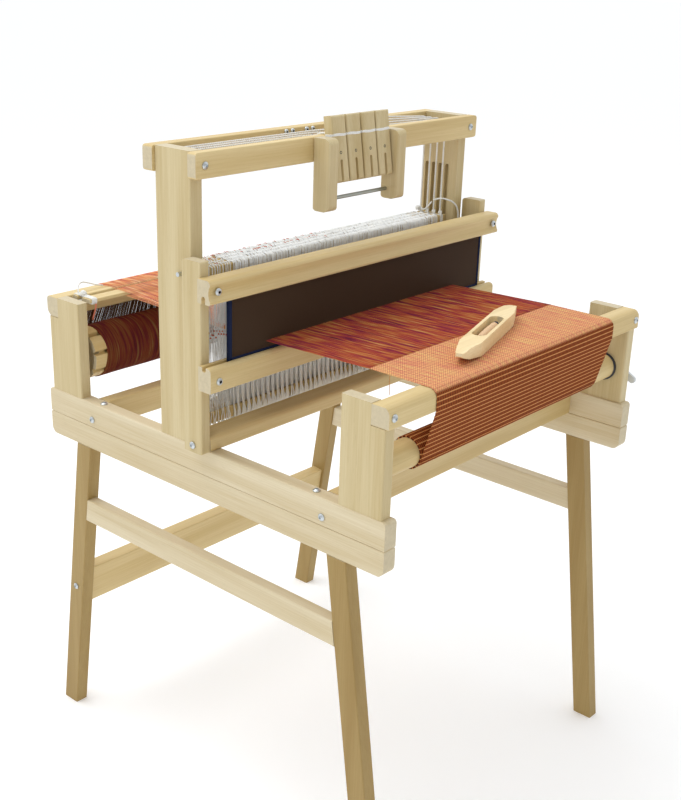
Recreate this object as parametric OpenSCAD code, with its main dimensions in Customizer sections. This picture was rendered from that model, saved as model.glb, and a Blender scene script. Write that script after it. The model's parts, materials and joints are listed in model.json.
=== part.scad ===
// Four-shaft table loom on its own stand, with a warp, a started cloth and a boat shuttle.
// X runs across the loom, Y from the weaver's side (front, negative) to the back, Z up from the floor.

/* [Base frame] */
// Width over the outer faces of the side rails
frame_w = 766; // [700:2:860]
// Length of the side rails, front to back
rail_l = 856; // [800:2:960]
// Thickness of the rails and legs
rail_t = 28; // [24:1:32]
// Height of the loom's side rails and cross rails
rail_h = 49.5; // [40:0.5:60]
// Distance of each cross rail's centre from the rails' ends
cross_rail_end = 131; // [118:1:158]

/* [Stand] */
// Height of the legs, floor to stand rail
leg_h = 630; // [450:5:750]
// Width of a leg, seen from the side
leg_w = 41; // [34:1:50]
// Distance of each leg's centre from the rails' ends, at the top
leg_end = 99; // [78:1:128]
// Angle by which the legs splay to the front and back
leg_splay = 8.3; // [5:0.1:11]
// Height of the stand rails
stand_rail_h = 47; // [38:0.5:60]
// Height of the side stretchers
side_stretcher_h = 47; // [36:1:60]
// Thickness of the side stretchers
side_stretcher_t = 24; // [18:1:28]
// Distance of the side stretchers' lower edge above the floor
side_stretcher_z = 465; // [300:5:500]
// Height of the rear stretcher
rear_stretcher_h = 83; // [60:1:100]
// Distance of the rear stretcher's middle above the floor, along the leg
rear_stretcher_z = 298; // [200:2:380]

/* [Posts and beams] */
// Height of the four corner posts
post_h = 188.2; // [180:0.1:215]
// Width of a post, seen from the side
post_w = 90; // [80:1:104]
// Thickness of a post
post_t = 22.6; // [18:0.2:26]
// Distance from a rail's end to its post
post_end = 9.5; // [4:0.5:16]
// Distance by which posts and castle stand back from the rails' outer faces
side_inset = 1.5; // [0:0.5:3]
// Depth of the breast beam
breast_w = 35; // [30:1:42]
// Height of the breast beam
breast_h = 36.5; // [30:0.5:44]
// Radius of the breast beam's upper front edge
breast_r = 14; // [8:1:16]
// Depth of the back beam
back_w = 32.5; // [28:0.5:40]
// Height of the back beam
back_h = 40; // [34:0.5:46]
// Distance by which the beams stand proud of the posts
beam_proud = 5.5; // [2:0.5:8]

/* [Castle] */
// Distance of the castle's front face behind the middle of the loom
castle_y = 9.5; // [6:0.5:14]
// Width of a castle upright, seen from the side
castle_w = 87.2; // [84:0.2:96]
// Thickness of a castle upright
castle_t = 26.7; // [24:0.1:30]
// Height of the castle uprights
castle_h = 511.7; // [505:0.1:560]
// Height of the castle's top rails
castle_rail_h = 43.7; // [38:0.1:50]
// Thickness of the castle's front rail
castle_front_t = 19.5; // [16:0.5:24]
// Thickness of the castle's rear rail
castle_rear_t = 24; // [18:0.5:28]
// Distance by which the castle rails overhang the side rails
castle_overhang = 4; // [1:0.5:6]
// Width of a guide slot for a shaft's end
slot_w = 10; // [9:0.5:11]
// Depth of a guide slot
slot_d = 9; // [6:0.5:11]
// Height of the slots' upper end above the side rails
slot_top = 410.5; // [405:0.5:440]

/* [Shafts] */
// Number of ends of the warp that are drawn as bundles
warp_n = 69; // [37:4:77]
// Distance between two bundles of the warp
warp_pitch = 8; // [6:0.5:8]
// Distance of the warp's middle from the loom's middle
warp_x = 8; // [0:1:20]
// Distance between two shafts
shaft_pitch = 17; // [16:0.5:18]
// Thickness of a shaft bar
bar_t = 8; // [6:0.5:8.5]
// Height of a shaft bar
bar_h = 20; // [16:1:24]
// Length of a heddle, over both of its bars
heddle_l = 288; // [280:1:294]
// Distance of the heddle eyes above the middle of the heddles
eye_high = 17.5; // [10:0.5:20]
// Height of the heddle eyes above the side rails
eye_h = 178.5; // [170:0.5:186]
// Distance of the lifting cords from the castle's uprights
drop_inset = 14.8; // [10:0.2:30]

/* [Levers] */
// Width of a lever
lever_w = 37; // [30:1:38]
// Distance between two levers
lever_pitch = 41; // [39:0.5:44]
// Thickness of a lever
lever_t = 20; // [16:0.5:22]
// Length of a lever above its pivot
lever_head = 104; // [90:1:116]
// Length of a lever below its pivot
lever_tail = 14; // [11:0.5:15]
// Angle by which the resting levers lean back
lever_lean = 8.5; // [4:0.5:12]
// Distance of the pivot below the castle's top
lever_drop = 68.2; // [60:0.1:80]
// Height of the cheeks that carry the levers
cheek_h = 129; // [122:1:150]
// Depth of the cheeks
cheek_d = 39.5; // [37:0.5:46]
// Thickness of the cheeks
cheek_t = 25.5; // [18:0.5:30]

/* [Beater] */
// Width of a beater sword, seen from the side
sword_w = 46; // [40:1:50]
// Thickness of a beater sword
sword_t = 20; // [16:0.5:24]
// Length of a beater sword
sword_l = 341; // [330:1:360]
// Height of the sword's pivot above its lower end
pivot_up = 13.5; // [12:0.5:18]
// Height of the pivot board
pivot_board_h = 27; // [22:1:32]
// Distance by which the cap and the race overhang the swords
cap_overhang = 6.5; // [3:0.5:9]
// Depth of the cap and the race
cap_d = 30.5; // [27:0.5:34]
// Height of the cap
cap_h = 41; // [34:0.5:44]
// Height of the cap's lower edge above the side rails
cap_up = 274.8; // [270:0.1:290]
// Height of the race
race_h = 44; // [36:0.5:50]
// Height of the race's lower edge above the side rails
race_up = 121.5; // [110:0.5:126]
// Distance of the reed's left end from the sword there
reed_left_gap = 29; // [22:0.5:44]
// Distance of the reed's right end from the sword there
reed_right_gap = 13.5; // [12:0.5:30]
// Height of the reed
reed_h = 125; // [122:0.5:128]
// Thickness of the reed's bands
reed_t = 8.4; // [6:0.1:10]
// Distance of the reed's middle behind the cap's front face
reed_back = 16.5; // [14:0.5:18]

/* [Beams that turn] */
// Radius of the cloth roller
roller_r = 25; // [20:0.5:28]
// Height of the cloth roller's axis above the side rails
roller_up = 68.5; // [60:0.5:72]
// Thickness of the cloth wound on the roller
cloth_roll = 2; // [1:0.5:4]
// Radius of the slatted warp drum
drum_r = 50; // [40:0.5:52]
// Height of the warp drum's axis above the side rails
drum_up = 73.5; // [66:0.5:76]
// Thickness of the warp wound on the drum
warp_roll = 2; // [1:0.5:3]
// Radius of the beams' journals
journal_r = 8; // [6:0.5:10]
// Radius of a ratchet wheel over its teeth
ratchet_r = 24; // [20:0.5:25]
// Length of the handle on a beam
handle_l = 54; // [45:1:60]

/* [Web] */
// Distance of the fell, where the weaving has got to, behind the breast beam
fell_back = 104; // [90:1:126]
// Thickness of the cloth
cloth_t = 1.4; // [1:0.1:2]
// Width of a bundle of warp
end_w = 4; // [3:0.5:4.5]
// Thickness of a bundle of warp
end_t = 0.8; // [0.6:0.1:1.2]
// Distance of the front lease stick's middle from the back beam
stick_back = 48.5; // [46:0.5:80]
// Distance between the two lease sticks' middles
stick_step = 34; // [30:1:36]
// Width of a lease stick
stick_w = 26; // [20:1:28]
// Thickness of a lease stick
stick_t = 7; // [5:0.5:8]

/* [Shuttle] */
// Length of the shuttle
shuttle_l = 325; // [260:5:340]
// Width of the shuttle
shuttle_w = 38; // [34:1:44]
// Height of the shuttle
shuttle_h = 26; // [24:1:32]
// Angle of the shuttle on the cloth
shuttle_turn = 17.9; // [0:0.1:18]

/* [Fits] */
// Radial clearance of a turning pin
pin_gap = 0.08; // [0.05:0.01:0.1]
// Clearance between parts that lie on each other and move
seat_gap = 0.3; // [0.2:0.05:0.5]
// Clearance between the beater's swords and the side rails
sword_gap = 0.5; // [0.3:0.1:1]
// Radius of the rounded edges of the boards
edge_r = 2.5; // [1:0.5:3]

/* [Hidden] */
$fn = 48;

LEFT = -1;
RIGHT = 1;
BIRCH = "burlywood";
STEEL = "silver";
CORD = "white";

// Levels and faces of the base
half_w = frame_w / 2;
inner_x = half_w - rail_t;
leg_top_y = rail_l / 2 - leg_end;
cross_rail_y = rail_l / 2 - cross_rail_end;
side_rail_z = leg_h + stand_rail_h;
deck_z = side_rail_z + rail_h;
cross_z = deck_z - rail_h;
rail_end_r = 8;
stand_end_r = 16;

// Posts and beams, measured at the front and mirrored for the back
post_x = half_w - side_inset;
post_y = rail_l / 2 - post_end;
post_z = deck_z + post_h;
beam_y = post_y + beam_proud;
back_corner_r = 8;
back_under_r = 16;

// Castle
castle_z = deck_z + castle_h;
castle_back = castle_y + castle_w;
castle_rail_z = castle_z - castle_rail_h;
castle_rail_x = half_w + castle_overhang;
castle_front = castle_y - castle_front_t;
castle_inner_x = post_x - castle_t;
drop_x = castle_inner_x - drop_inset;

// Shafts, numbered from the front
shaft_n = 4;
shaft_1_y = castle_y + castle_w / 2 - 1.5 * shaft_pitch + 6.4;
function shaft_y(k) = shaft_1_y + (k - 1) * shaft_pitch;
eye_z = deck_z + eye_h;
bar_top_z = eye_z + heddle_l / 2 - eye_high - bar_h;
bar_low_z = eye_z - heddle_l / 2 - eye_high + bar_h;
slot_floor = bar_low_z - bar_h - slot_w / 2 - deck_z;
slot_play = 2;
bar_x = castle_inner_x + slot_d - slot_play;
heddle_t = 1.1;

// Levers, numbered from the left
pivot_z = castle_z - lever_drop;
lever_pivot_y = castle_front - seat_gap - lever_drop * tan(lever_lean) - lever_t / 2 / cos(lever_lean);
rod_r = 4;
stop_r = 3.5;
stop_along = 41;
stop_off = lever_t / 2 + seat_gap + stop_r;
stop_y = lever_pivot_y - stop_along * sin(lever_lean) + stop_off * cos(lever_lean);
stop_z = pivot_z - stop_along * cos(lever_lean) - stop_off * sin(lever_lean);
lever_block = (shaft_n - 1) * lever_pitch + lever_w;
cheek_gap = 3;
cheek_x = lever_block / 2 + cheek_gap;
neck_up = 70;
neck_cut = 1.6;
neck_w = 3.6;
function lever_x(k) = (k - 2.5) * lever_pitch;

// Lifting cords
cord_r = 1.25;
guide_r = 6.5;
guide_z = castle_z - 16;
guide_x = drop_x - guide_r - seat_gap - cord_r;
run_z = guide_z + guide_r + seat_gap + cord_r;
over_z = castle_z + seat_gap + cord_r;

// Beater
sword_x = half_w + sword_gap;
reed_l = 2 * sword_x - reed_left_gap - reed_right_gap;
reed_x = (reed_left_gap - reed_right_gap) / 2;
sword_top_r = 9;
cap_x = sword_x + sword_t + cap_overhang;
sword_z = deck_z - 0.5;
sword_back = castle_y + 0.5;
sword_y = sword_back - sword_w;
beater_y = sword_back - sword_w / 2;
beater_z = sword_z + pivot_up;
cap_y = sword_y - cap_d;
cap_z = deck_z + cap_up;
race_z = deck_z + race_up;
groove_gap = 0.3;
groove_w = reed_t + 2 * groove_gap;
reed_y = cap_y + reed_back;
race_groove = 8.1;
reed_z = race_z + race_h - race_groove + groove_gap;
cap_groove = reed_z + reed_h - cap_z + 5;
dent_t = 1.2;
dent_d = 6;
band_h = 12;
end_bar_w = 6;
bolt_r = 4;

// Roller and drum
roller_y = -(post_y - post_w / 2);
roller_z = deck_z + roller_up;
drum_y = post_y - post_w / 2;
drum_z = deck_z + drum_up;
post_inner = post_x - post_t;
web_w = warp_n * warp_pitch - (warp_pitch - end_w);
web_left = warp_x - web_w / 2;
roll_gap = 0.15;
slat_n = 8;
slat_w = 29;
slat_t = 8;
drum_end_gap = 12;
drum_x = post_inner - drum_end_gap;
wheel_t = 4;
wheel_x = post_x + seat_gap;
tooth_n = 12;
tooth_h = 5;
pawl_off = 34;
blind = 8;
left_end = post_x - blind - seat_gap;
arm_x = wheel_x + wheel_t + 6;
arm_t = 6;
hub_r = 10;
head_h = 4.5;
head_r = 6.5;

// Web
line_gap = seat_gap + cloth_t / 2;
web_z = post_z + line_gap;
web_mid_y = (shaft_y(1) + shaft_y(shaft_n)) / 2;
fell_y = beam_y - breast_w - fell_back;
stick_y = beam_y - back_w - stick_back;
stick_2_y = stick_y + stick_step;
stick_end = 8;
stick_z = eye_z + (web_z - eye_z) * (stick_y - web_mid_y) / (beam_y - back_w - web_mid_y);
stick_2_z = web_z - 1.5;
stick_off = stick_t / 2 + seat_gap + end_t / 2;
stick_l = 2 * (post_inner - stick_end);
wrap_r = drum_r + roll_gap + warp_roll + seat_gap + end_t / 2;
roll_r = roller_r + roll_gap + cloth_roll + seat_gap + cloth_t / 2;

// Shuttle
shuttle_y = -fell_y - 48;
shuttle_z = post_z + seat_gap + cloth_t + seat_gap;
shuttle_nose = 62;
well_l = 128;
well_w = 26;
bobbin_l = 100;
core_r = 4.6;
spindle_r = 2;
weft_r = 1.45;
weft_turns = 24;
weft_pitch = 3.4;
weft_rings = 12;
weft_turn_r = core_r + 0.15 + weft_r;

// Corner of a flat shape, cut to a true quarter round
module corner_cut(r) {
    difference() {
        translate([-1, -1]) square(r + 1);
        translate([r, r]) circle(r);
    }
}

// Rectangle with its own radius at each corner, from lower left, turning left
module plate(w, h, r) {
    difference() {
        square([w, h]);
        corner_cut(r[0]);
        translate([w, 0]) mirror([1, 0]) corner_cut(r[1]);
        translate([w, h]) rotate(180) corner_cut(r[2]);
        translate([0, h]) mirror([0, 1]) corner_cut(r[3]);
    }
}

module even_plate(w, h, r) {
    plate(w, h, [r, r, r, r]);
}

// Flat shapes drawn in Y and Z, pulled along X; in X and Z, pulled along Y; in X and Y, along Z
module along_x(x0, length) {
    translate([x0, 0, 0]) rotate([90, 0, 90]) linear_extrude(length) children();
}

module along_y(y0, length) {
    translate([0, y0 + length, 0]) rotate([90, 0, 0]) linear_extrude(length) children();
}

module along_z(z0, length) {
    translate([0, 0, z0]) linear_extrude(length) children();
}

// Board with rounded long edges along X, Y or Z
module board_x(x0, y0, z0, l, w, h, r = edge_r) {
    along_x(x0, l) translate([y0, z0]) even_plate(w, h, r);
}

module board_y(x0, y0, z0, t, l, h, r = edge_r) {
    along_y(y0, l) translate([x0, z0]) even_plate(t, h, r);
}

module board_z(x0, y0, z0, t, w, l, r = edge_r) {
    along_z(z0, l) translate([x0, y0]) even_plate(t, w, r);
}

// Pieces are drawn on the right and mirrored to the left
module on_side(side) {
    mirror([side == LEFT ? 1 : 0, 0, 0]) children();
}

module pin_x(x0, length, y, z, r) {
    translate([x0, y, z]) rotate([0, 90, 0]) cylinder(h = length, r = r);
}

module pin_y(y0, length, x, z, r) {
    translate([x, y0, z]) rotate([-90, 0, 0]) cylinder(h = length, r = r);
}

// Domed bolt head on a face, its axis along +Z
module bolt_head() {
    rotate_extrude() difference() {
        intersection() {
            translate([0, head_h - 9]) circle(9);
            square([head_r, head_h]);
        }
        translate([0, head_h - 2]) square([2.5, 3]);
    }
}

// Stand
module stand_rail(side) {
    color(BIRCH) on_side(side) intersection() {
        along_x(inner_x, rail_t) translate([-rail_l / 2, leg_h])
            plate(rail_l, stand_rail_h, [stand_end_r, stand_end_r, edge_r, edge_r]);
        board_y(inner_x, -rail_l / 2, leg_h, rail_t, rail_l, stand_rail_h);
    }
}

function leg_mid_y(z) = leg_top_y + (leg_h - z) * tan(leg_splay);
function leg_inner_y(z) = leg_mid_y(z) - leg_w / 2 / cos(leg_splay);

module leg(side, end) {
    color(BIRCH) on_side(side) mirror([0, end, 0]) intersection() {
        translate([inner_x, 0, 0]) cube([rail_t, rail_l, leg_h]);
        translate([0, leg_top_y, leg_h]) rotate([leg_splay, 0, 0])
            board_z(inner_x, -leg_w / 2, -leg_h * 1.1, rail_t, leg_w, leg_h * 1.2);
    }
}

module side_stretcher(side) {
    z_top = side_stretcher_z + side_stretcher_h;
    color(BIRCH) on_side(side) intersection() {
        board_y(half_w - side_stretcher_t, -rail_l / 2, side_stretcher_z,
            side_stretcher_t, rail_l, side_stretcher_h);
        along_x(inner_x, rail_t) polygon([
            [-leg_inner_y(side_stretcher_z), side_stretcher_z],
            [leg_inner_y(side_stretcher_z), side_stretcher_z],
            [leg_inner_y(z_top), z_top], [-leg_inner_y(z_top), z_top]]);
    }
}

module rear_stretcher() {
    color(BIRCH) translate([0, leg_mid_y(rear_stretcher_z), rear_stretcher_z]) rotate([leg_splay, 0, 0])
        board_x(-inner_x, -rail_t / 2, -rear_stretcher_h / 2, 2 * inner_x, rail_t, rear_stretcher_h);
}

// Base of the loom
module side_rail(side) {
    color(BIRCH) on_side(side) intersection() {
        along_x(inner_x, rail_t) translate([-rail_l / 2, side_rail_z])
            plate(rail_l, rail_h, [edge_r, edge_r, rail_end_r, rail_end_r]);
        board_y(inner_x, -rail_l / 2, side_rail_z, rail_t, rail_l, rail_h);
    }
}

module cross_rail(y) {
    color(BIRCH) board_x(-inner_x, y - rail_t / 2, cross_z, 2 * inner_x, rail_t, rail_h);
}

module beater_pivot_board() {
    color(BIRCH) difference() {
        along_x(-half_w, frame_w) translate([sword_y + 0.5, deck_z])
            plate(castle_y - sword_y - 0.5, pivot_board_h, [edge_r, edge_r, edge_r, 9]);
        for (side = [LEFT, RIGHT]) on_side(side) pin_x(half_w - 42, 43, beater_y, beater_z, bolt_r);
    }
}

// Corner posts, with a notch for the beam and a bore for the journal, blind on the left
module post(side, axis_z) {
    on_side(side) difference() {
        board_z(post_inner, post_y - post_w, deck_z, post_t, post_w, post_h);
        pin_x(post_inner - 1, post_t + (side == LEFT ? 1 - blind : 2), post_y - post_w / 2, axis_z,
            journal_r + pin_gap);
        children();
    }
}

module beam_notch(w, h) {
    translate([post_inner - 1, beam_y - w, post_z - h]) cube([post_t + 2, w + 1, h + 1]);
}

module pawl_hole(axis_z) {
    pin_x(post_inner - 1, post_t + 2, post_y - post_w / 2 - pawl_off, axis_z + pawl_off, bolt_r);
}

module front_post(side) {
    color(BIRCH) mirror([0, 1, 0]) post(side, roller_z) {
        beam_notch(breast_w, breast_h);
        if (side == RIGHT) pawl_hole(roller_z);
    }
}

module rear_post(side) {
    color(BIRCH) post(side, drum_z) {
        beam_notch(back_w, back_h);
        if (side == RIGHT) pawl_hole(drum_z);
    }
}

module breast_beam() {
    color(BIRCH) intersection() {
        along_x(-post_x, 2 * post_x) translate([-beam_y, post_z - breast_h])
            plate(breast_w, breast_h, [edge_r, edge_r, edge_r, breast_r]);
        board_y(-post_x, -beam_y, post_z - breast_h, 2 * post_x, breast_w, breast_h);
    }
}

module back_beam() {
    color(BIRCH) intersection() {
        along_x(-post_x, 2 * post_x) translate([beam_y - back_w, post_z - back_h])
            plate(back_w, back_h, [edge_r, back_under_r, back_corner_r, edge_r]);
        board_y(-post_x, beam_y - back_w, post_z - back_h, 2 * post_x, back_w, back_h);
    }
}

// Castle
module guide_slot(y) {
    length = slot_top - slot_floor;
    along_x(castle_inner_x - 1, slot_d + 1) translate([y - slot_w / 2, deck_z + slot_floor])
        even_plate(slot_w, length, slot_w / 2 - 0.1);
}

module castle_upright(side) {
    color(BIRCH) on_side(side) difference() {
        board_z(castle_inner_x, castle_y, deck_z, castle_t, castle_w, castle_h);
        for (k = [1 : shaft_n]) guide_slot(shaft_y(k));
    }
}

module castle_rail(y0, t) {
    color(BIRCH) intersection() {
        board_x(-castle_rail_x, y0, castle_rail_z, 2 * castle_rail_x, t, castle_rail_h);
        board_y(-castle_rail_x, y0, castle_rail_z, 2 * castle_rail_x, t, castle_rail_h, 6);
    }
}

module castle_front_rail() {
    castle_rail(castle_front, castle_front_t);
}

module castle_rear_rail() {
    castle_rail(castle_back, castle_rear_t);
}

module lever_cheek(side) {
    color(BIRCH) on_side(side) difference() {
        intersection() {
            along_x(cheek_x, cheek_t) translate([castle_front - cheek_d, castle_z - cheek_h])
                plate(cheek_d, cheek_h, [13, 10, edge_r, 13]);
            board_z(cheek_x, castle_front - cheek_d, castle_z - cheek_h, cheek_t, cheek_d, cheek_h, 4);
        }
        pin_x(cheek_x - 1, cheek_t - 8, lever_pivot_y, pivot_z, rod_r);
        pin_x(cheek_x - 1, cheek_t - 8, stop_y, stop_z, stop_r);
    }
}

module castle_rods() {
    reach = cheek_x + cheek_t - 9;
    color(STEEL) {
        pin_x(-reach, 2 * reach, lever_pivot_y, pivot_z, rod_r);
        pin_x(-reach, 2 * reach, stop_y, stop_z, stop_r);
        for (side = [LEFT, RIGHT]) pin_y(castle_y, castle_w, side * guide_x, guide_z, guide_r);
    }
}

// One lever, standing on its pivot as if it did not lean
module lever_body() {
    difference() {
        intersection() {
            along_x(-lever_w / 2, lever_w) translate([-lever_t / 2, -lever_tail])
                plate(lever_t, lever_head + lever_tail, [6, 6, 3, 4]);
            board_z(-lever_w / 2, -lever_t / 2, -lever_tail, lever_w, lever_t, lever_head + lever_tail, 3);
        }
        pin_x(-lever_w, 2 * lever_w, 0, 0, rod_r + pin_gap);
        along_y(-lever_t / 2 - 1, 6) translate([-3.2, -lever_tail - 5]) even_plate(6.4, lever_tail + 32, 3.1);
        along_z(neck_up - neck_w / 2, neck_w) difference() {
            square([lever_w + 2, lever_t + 2], center = true);
            square([lever_w - 2 * neck_cut, lever_t - 2 * neck_cut], center = true);
        }
    }
}

module lever(k) {
    color(BIRCH) translate([lever_x(k), lever_pivot_y, pivot_z]) rotate([-lever_lean, 0, 0]) lever_body();
}

// Bolts, screws and eyes of the frame
module bolt_right(x, y, z) {
    for (side = [LEFT, RIGHT]) on_side(side) translate([x, y, z]) rotate([0, 90, 0]) bolt_head();
}

module frame_bolts() {
    shank_in = 40;
    color(STEEL) {
        for (y = [-cross_rail_y, cross_rail_y]) bolt_right(half_w, y, side_rail_z + rail_h * 0.32);
        bolt_right(half_w, leg_mid_y(rear_stretcher_z), rear_stretcher_z);
        for (side = [LEFT, RIGHT]) {
            for (y = [-cross_rail_y + 25, cross_rail_y - 20])
                translate([side * (half_w - rail_t / 2), y, deck_z]) bolt_head();
            translate([side * (post_x - 12), -beam_y, post_z - breast_h / 2]) rotate([90, 0, 0]) bolt_head();
            translate([side * (post_x - 12), beam_y, post_z - back_h / 2]) rotate([-90, 0, 0]) bolt_head();
            translate([side * (post_x - 15), castle_front, castle_z - castle_rail_h / 2])
                rotate([90, 0, 0]) bolt_head();
            translate([side * (post_x - 15), castle_back + castle_rear_t, castle_z - castle_rail_h / 2])
                rotate([-90, 0, 0]) bolt_head();
            on_side(side) {
                pin_x(post_x, 8, castle_y + 26, beater_z + sword_l * 0.855, 4);
                pin_x(half_w - shank_in, shank_in + sword_gap + sword_t + seat_gap,
                    beater_y, beater_z, bolt_r);
                translate([sword_x + sword_t + seat_gap, beater_y, beater_z]) rotate([0, 90, 0]) bolt_head();
            }
        }
        for (end = [0, 1]) mirror([0, 1 - end, 0]) translate([0, post_y - post_w / 2 - pawl_off,
            (end == 1 ? drum_z : roller_z) + pawl_off]) {
            pin_x(post_inner + 2, post_t - 2 + wheel_t + 3 * seat_gap, 0, 0, bolt_r);
            translate([wheel_x + wheel_t + 2 * seat_gap, 0, 0]) rotate([0, 90, 0]) bolt_head();
        }
        for (x = [-62, -44, -3, 15]) translate([x, castle_back, castle_z - 12]) rotate([90, 0, 0]) {
            cylinder(h = 4, r = 1.5);
            translate([0, 0, 7]) rotate([0, 90, 0]) rotate_extrude() translate([3, 0]) circle(1.2, $fn = 16);
        }
    }
}

// Beater
module beater_sword(side) {
    color(BIRCH) on_side(side) difference() {
        intersection() {
            board_z(sword_x, sword_y, sword_z, sword_t, sword_w, sword_l);
            along_x(sword_x, sword_t) translate([sword_y, sword_z])
                plate(sword_w, sword_l, [4, 4, sword_top_r, 4]);
        }
        pin_x(sword_x - 1, sword_t + 2, beater_y, beater_z, bolt_r + pin_gap);
    }
}

// The cap's front face has one long cove between two rounded edges
module cap_profile() {
    cove_r = 26;
    difference() {
        plate(cap_d, cap_h, [4, edge_r, edge_r, 8]);
        translate([-cove_r + 4, cap_h * 0.47]) circle(cove_r, $fn = 96);
        translate([reed_back - groove_w / 2, -1]) plate(groove_w, cap_groove + 1, [0.1, 0.1, 4.4, 4.4]);
    }
}

module race_profile() {
    difference() {
        plate(cap_d, race_h, [edge_r, edge_r, edge_r, 8]);
        translate([reed_back - groove_w / 2, race_h - race_groove])
            plate(groove_w, race_groove + 1, [3.5, 3.5, 0.1, 0.1]);
    }
}

module beater_cap() {
    color(BIRCH) along_x(-cap_x, 2 * cap_x) translate([cap_y, cap_z]) cap_profile();
}

module beater_race() {
    color(BIRCH) along_x(-cap_x, 2 * cap_x) translate([cap_y, race_z]) race_profile();
}

module reed() {
    dents = floor((reed_l / 2 - end_bar_w) / warp_pitch - 0.5);
    color([0.16, 0.13, 0.12]) translate([reed_x, 0, 0]) {
        for (z = [reed_z, reed_z + reed_h - band_h])
            board_x(-reed_l / 2, reed_y - reed_t / 2, z, reed_l, reed_t, band_h, 3.4);
        along_z(reed_z + band_h, reed_h - 2 * band_h) {
            for (x = [-reed_l / 2, reed_l / 2 - end_bar_w])
                translate([x, reed_y - reed_t / 2]) square([end_bar_w, reed_t]);
            for (i = [-dents - 1 : dents]) let (x = warp_x - reed_x + (i + 0.5) * warp_pitch)
                if (abs(x) < reed_l / 2 - end_bar_w - 2)
                    translate([x - dent_t / 2, reed_y - dent_d / 2]) square([dent_t, dent_d]);
        }
    }
}

// Shafts, with one heddle beside every fourth bundle
module heddle_side() {
    loop = 1;
    gap = 0.3;
    grip_w = bar_t + 2 * (gap + loop);
    grip_h = bar_h + 2 * (gap + loop);
    for (z = [bar_low_z - bar_h - gap - loop, bar_top_z - gap - loop])
        translate([-grip_w / 2, z]) difference() {
            square([grip_w, grip_h]);
            translate([loop, loop]) square([grip_w - 2 * loop, grip_h - 2 * loop]);
        }
    difference() {
        union() {
            translate([-heddle_t / 2, bar_low_z + gap]) square([heddle_t, bar_top_z - bar_low_z - 2 * gap]);
            translate([-2.5, eye_z - 6]) square([5, 12]);
        }
        translate([-1.4, eye_z - 4.9]) square([2.8, 9.8]);
    }
}

module shaft(k) {
    mid = (warp_n - 1) / 2;
    translate([0, shaft_y(k), 0]) {
        color(BIRCH) for (z = [bar_low_z - bar_h, bar_top_z])
            board_x(-bar_x, -bar_t / 2, z, 2 * bar_x, bar_t, bar_h);
        color(CORD) for (i = [k - 1 : shaft_n : warp_n - 1])
            along_x(warp_x + (i - mid + 0.5) * warp_pitch - heddle_t / 2, heddle_t) heddle_side();
    }
}

module lift_cords(k) {
    z0 = bar_top_z + bar_h + seat_gap;
    color(CORD) for (side = [LEFT, RIGHT]) translate([side * drop_x, shaft_y(k), z0])
        cylinder(h = guide_z - z0, r = cord_r, $fn = 16);
}

// Tube swept along a list of points, with the ring turned to the route at each point
function unit(v) = v / norm(v);
function heading(p, i) = unit(p[min(i + 1, len(p) - 1)] - p[max(i - 1, 0)]);
function ring(p, i, r, n) = let (d = heading(p, i), a = unit(cross(d, [0.1, 0.2, 1])), b = cross(d, a))
    [for (j = [0 : n - 1]) p[i] + r * (cos(360 * j / n) * a + sin(360 * j / n) * b)];

module tube(p, r, n = 8) {
    last = len(p) - 1;
    polyhedron(
        points = [for (i = [0 : last]) each ring(p, i, r, n)],
        faces = concat(
            [for (j = [1 : n - 2]) [0, j, j + 1]],
            [for (j = [1 : n - 2]) [last * n, last * n + j + 1, last * n + j]],
            [for (i = [0 : last - 1], j = [0 : n - 1]) each [
                [i * n + j, (i + 1) * n + j, (i + 1) * n + (j + 1) % n],
                [i * n + j, (i + 1) * n + (j + 1) % n, i * n + (j + 1) % n]]]),
        convexity = 6);
}

// A lifting cord's way over its guide rod and along the castle to its lever. The cords from the right
// cross the others, each on its own level.
function cord_level(k, side) = run_z + (side == LEFT ? 0 : 3 + 2.7 * k);
function left_reach(x, y) = [
    [x - 75, y, run_z], [x - 44, y - 8, run_z + 1], [x - 30, (y + castle_y) / 2, run_z + 1.5],
    [x - 16, castle_y + 7, run_z + 4], [x - 9, castle_y - 1, over_z + 0.3]];
function right_reach(x, y, z) = [
    [x + 75, y, z], [x + 58, y - 2, z + 1], [x + 44, y - 6, max(over_z + 0.5, z + 1)],
    [x + 30, (y + castle_y) / 2, max(over_z + 0.5, z)], [x + 14, castle_y + 3, over_z + 1]];
function cord_route(k, side) = let (y = shaft_y(k), x = lever_x(k), turn = guide_r + seat_gap + cord_r)
    concat(
        [[side * (guide_x + turn), y, guide_z + seat_gap]],
        [for (a = [15 : 15 : 90]) [side * (guide_x + turn * cos(a)), y, guide_z + turn * sin(a)]],
        side == LEFT ? left_reach(x, y) : right_reach(x, y, cord_level(k, side)),
        [[x + side * 6, castle_front + 8, over_z + 0.3], [x + side * 5, castle_front + 1, over_z + 0.2]]);

module cord_runs() {
    color(CORD) for (k = [1 : shaft_n], side = [LEFT, RIGHT]) tube(cord_route(k, side), cord_r);
}

// Warp and cloth, drawn as strips along a line in Y and Z
function strip_side(p, d) = [for (i = [0 : len(p) - 1]) p[i] + d * [-heading(p, i)[1], heading(p, i)[0]]];
function reversed(p) = [for (i = [len(p) - 1 : -1 : 0]) p[i]];

module strip(p, t) {
    polygon(concat(strip_side(p, t / 2), reversed(strip_side(p, -t / 2))));
}

function arc(c, r, a0, a1, step) = [for (a = [a0 : (a1 > a0 ? step : -step) : a1]) c + r * [cos(a), sin(a)]];

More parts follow.
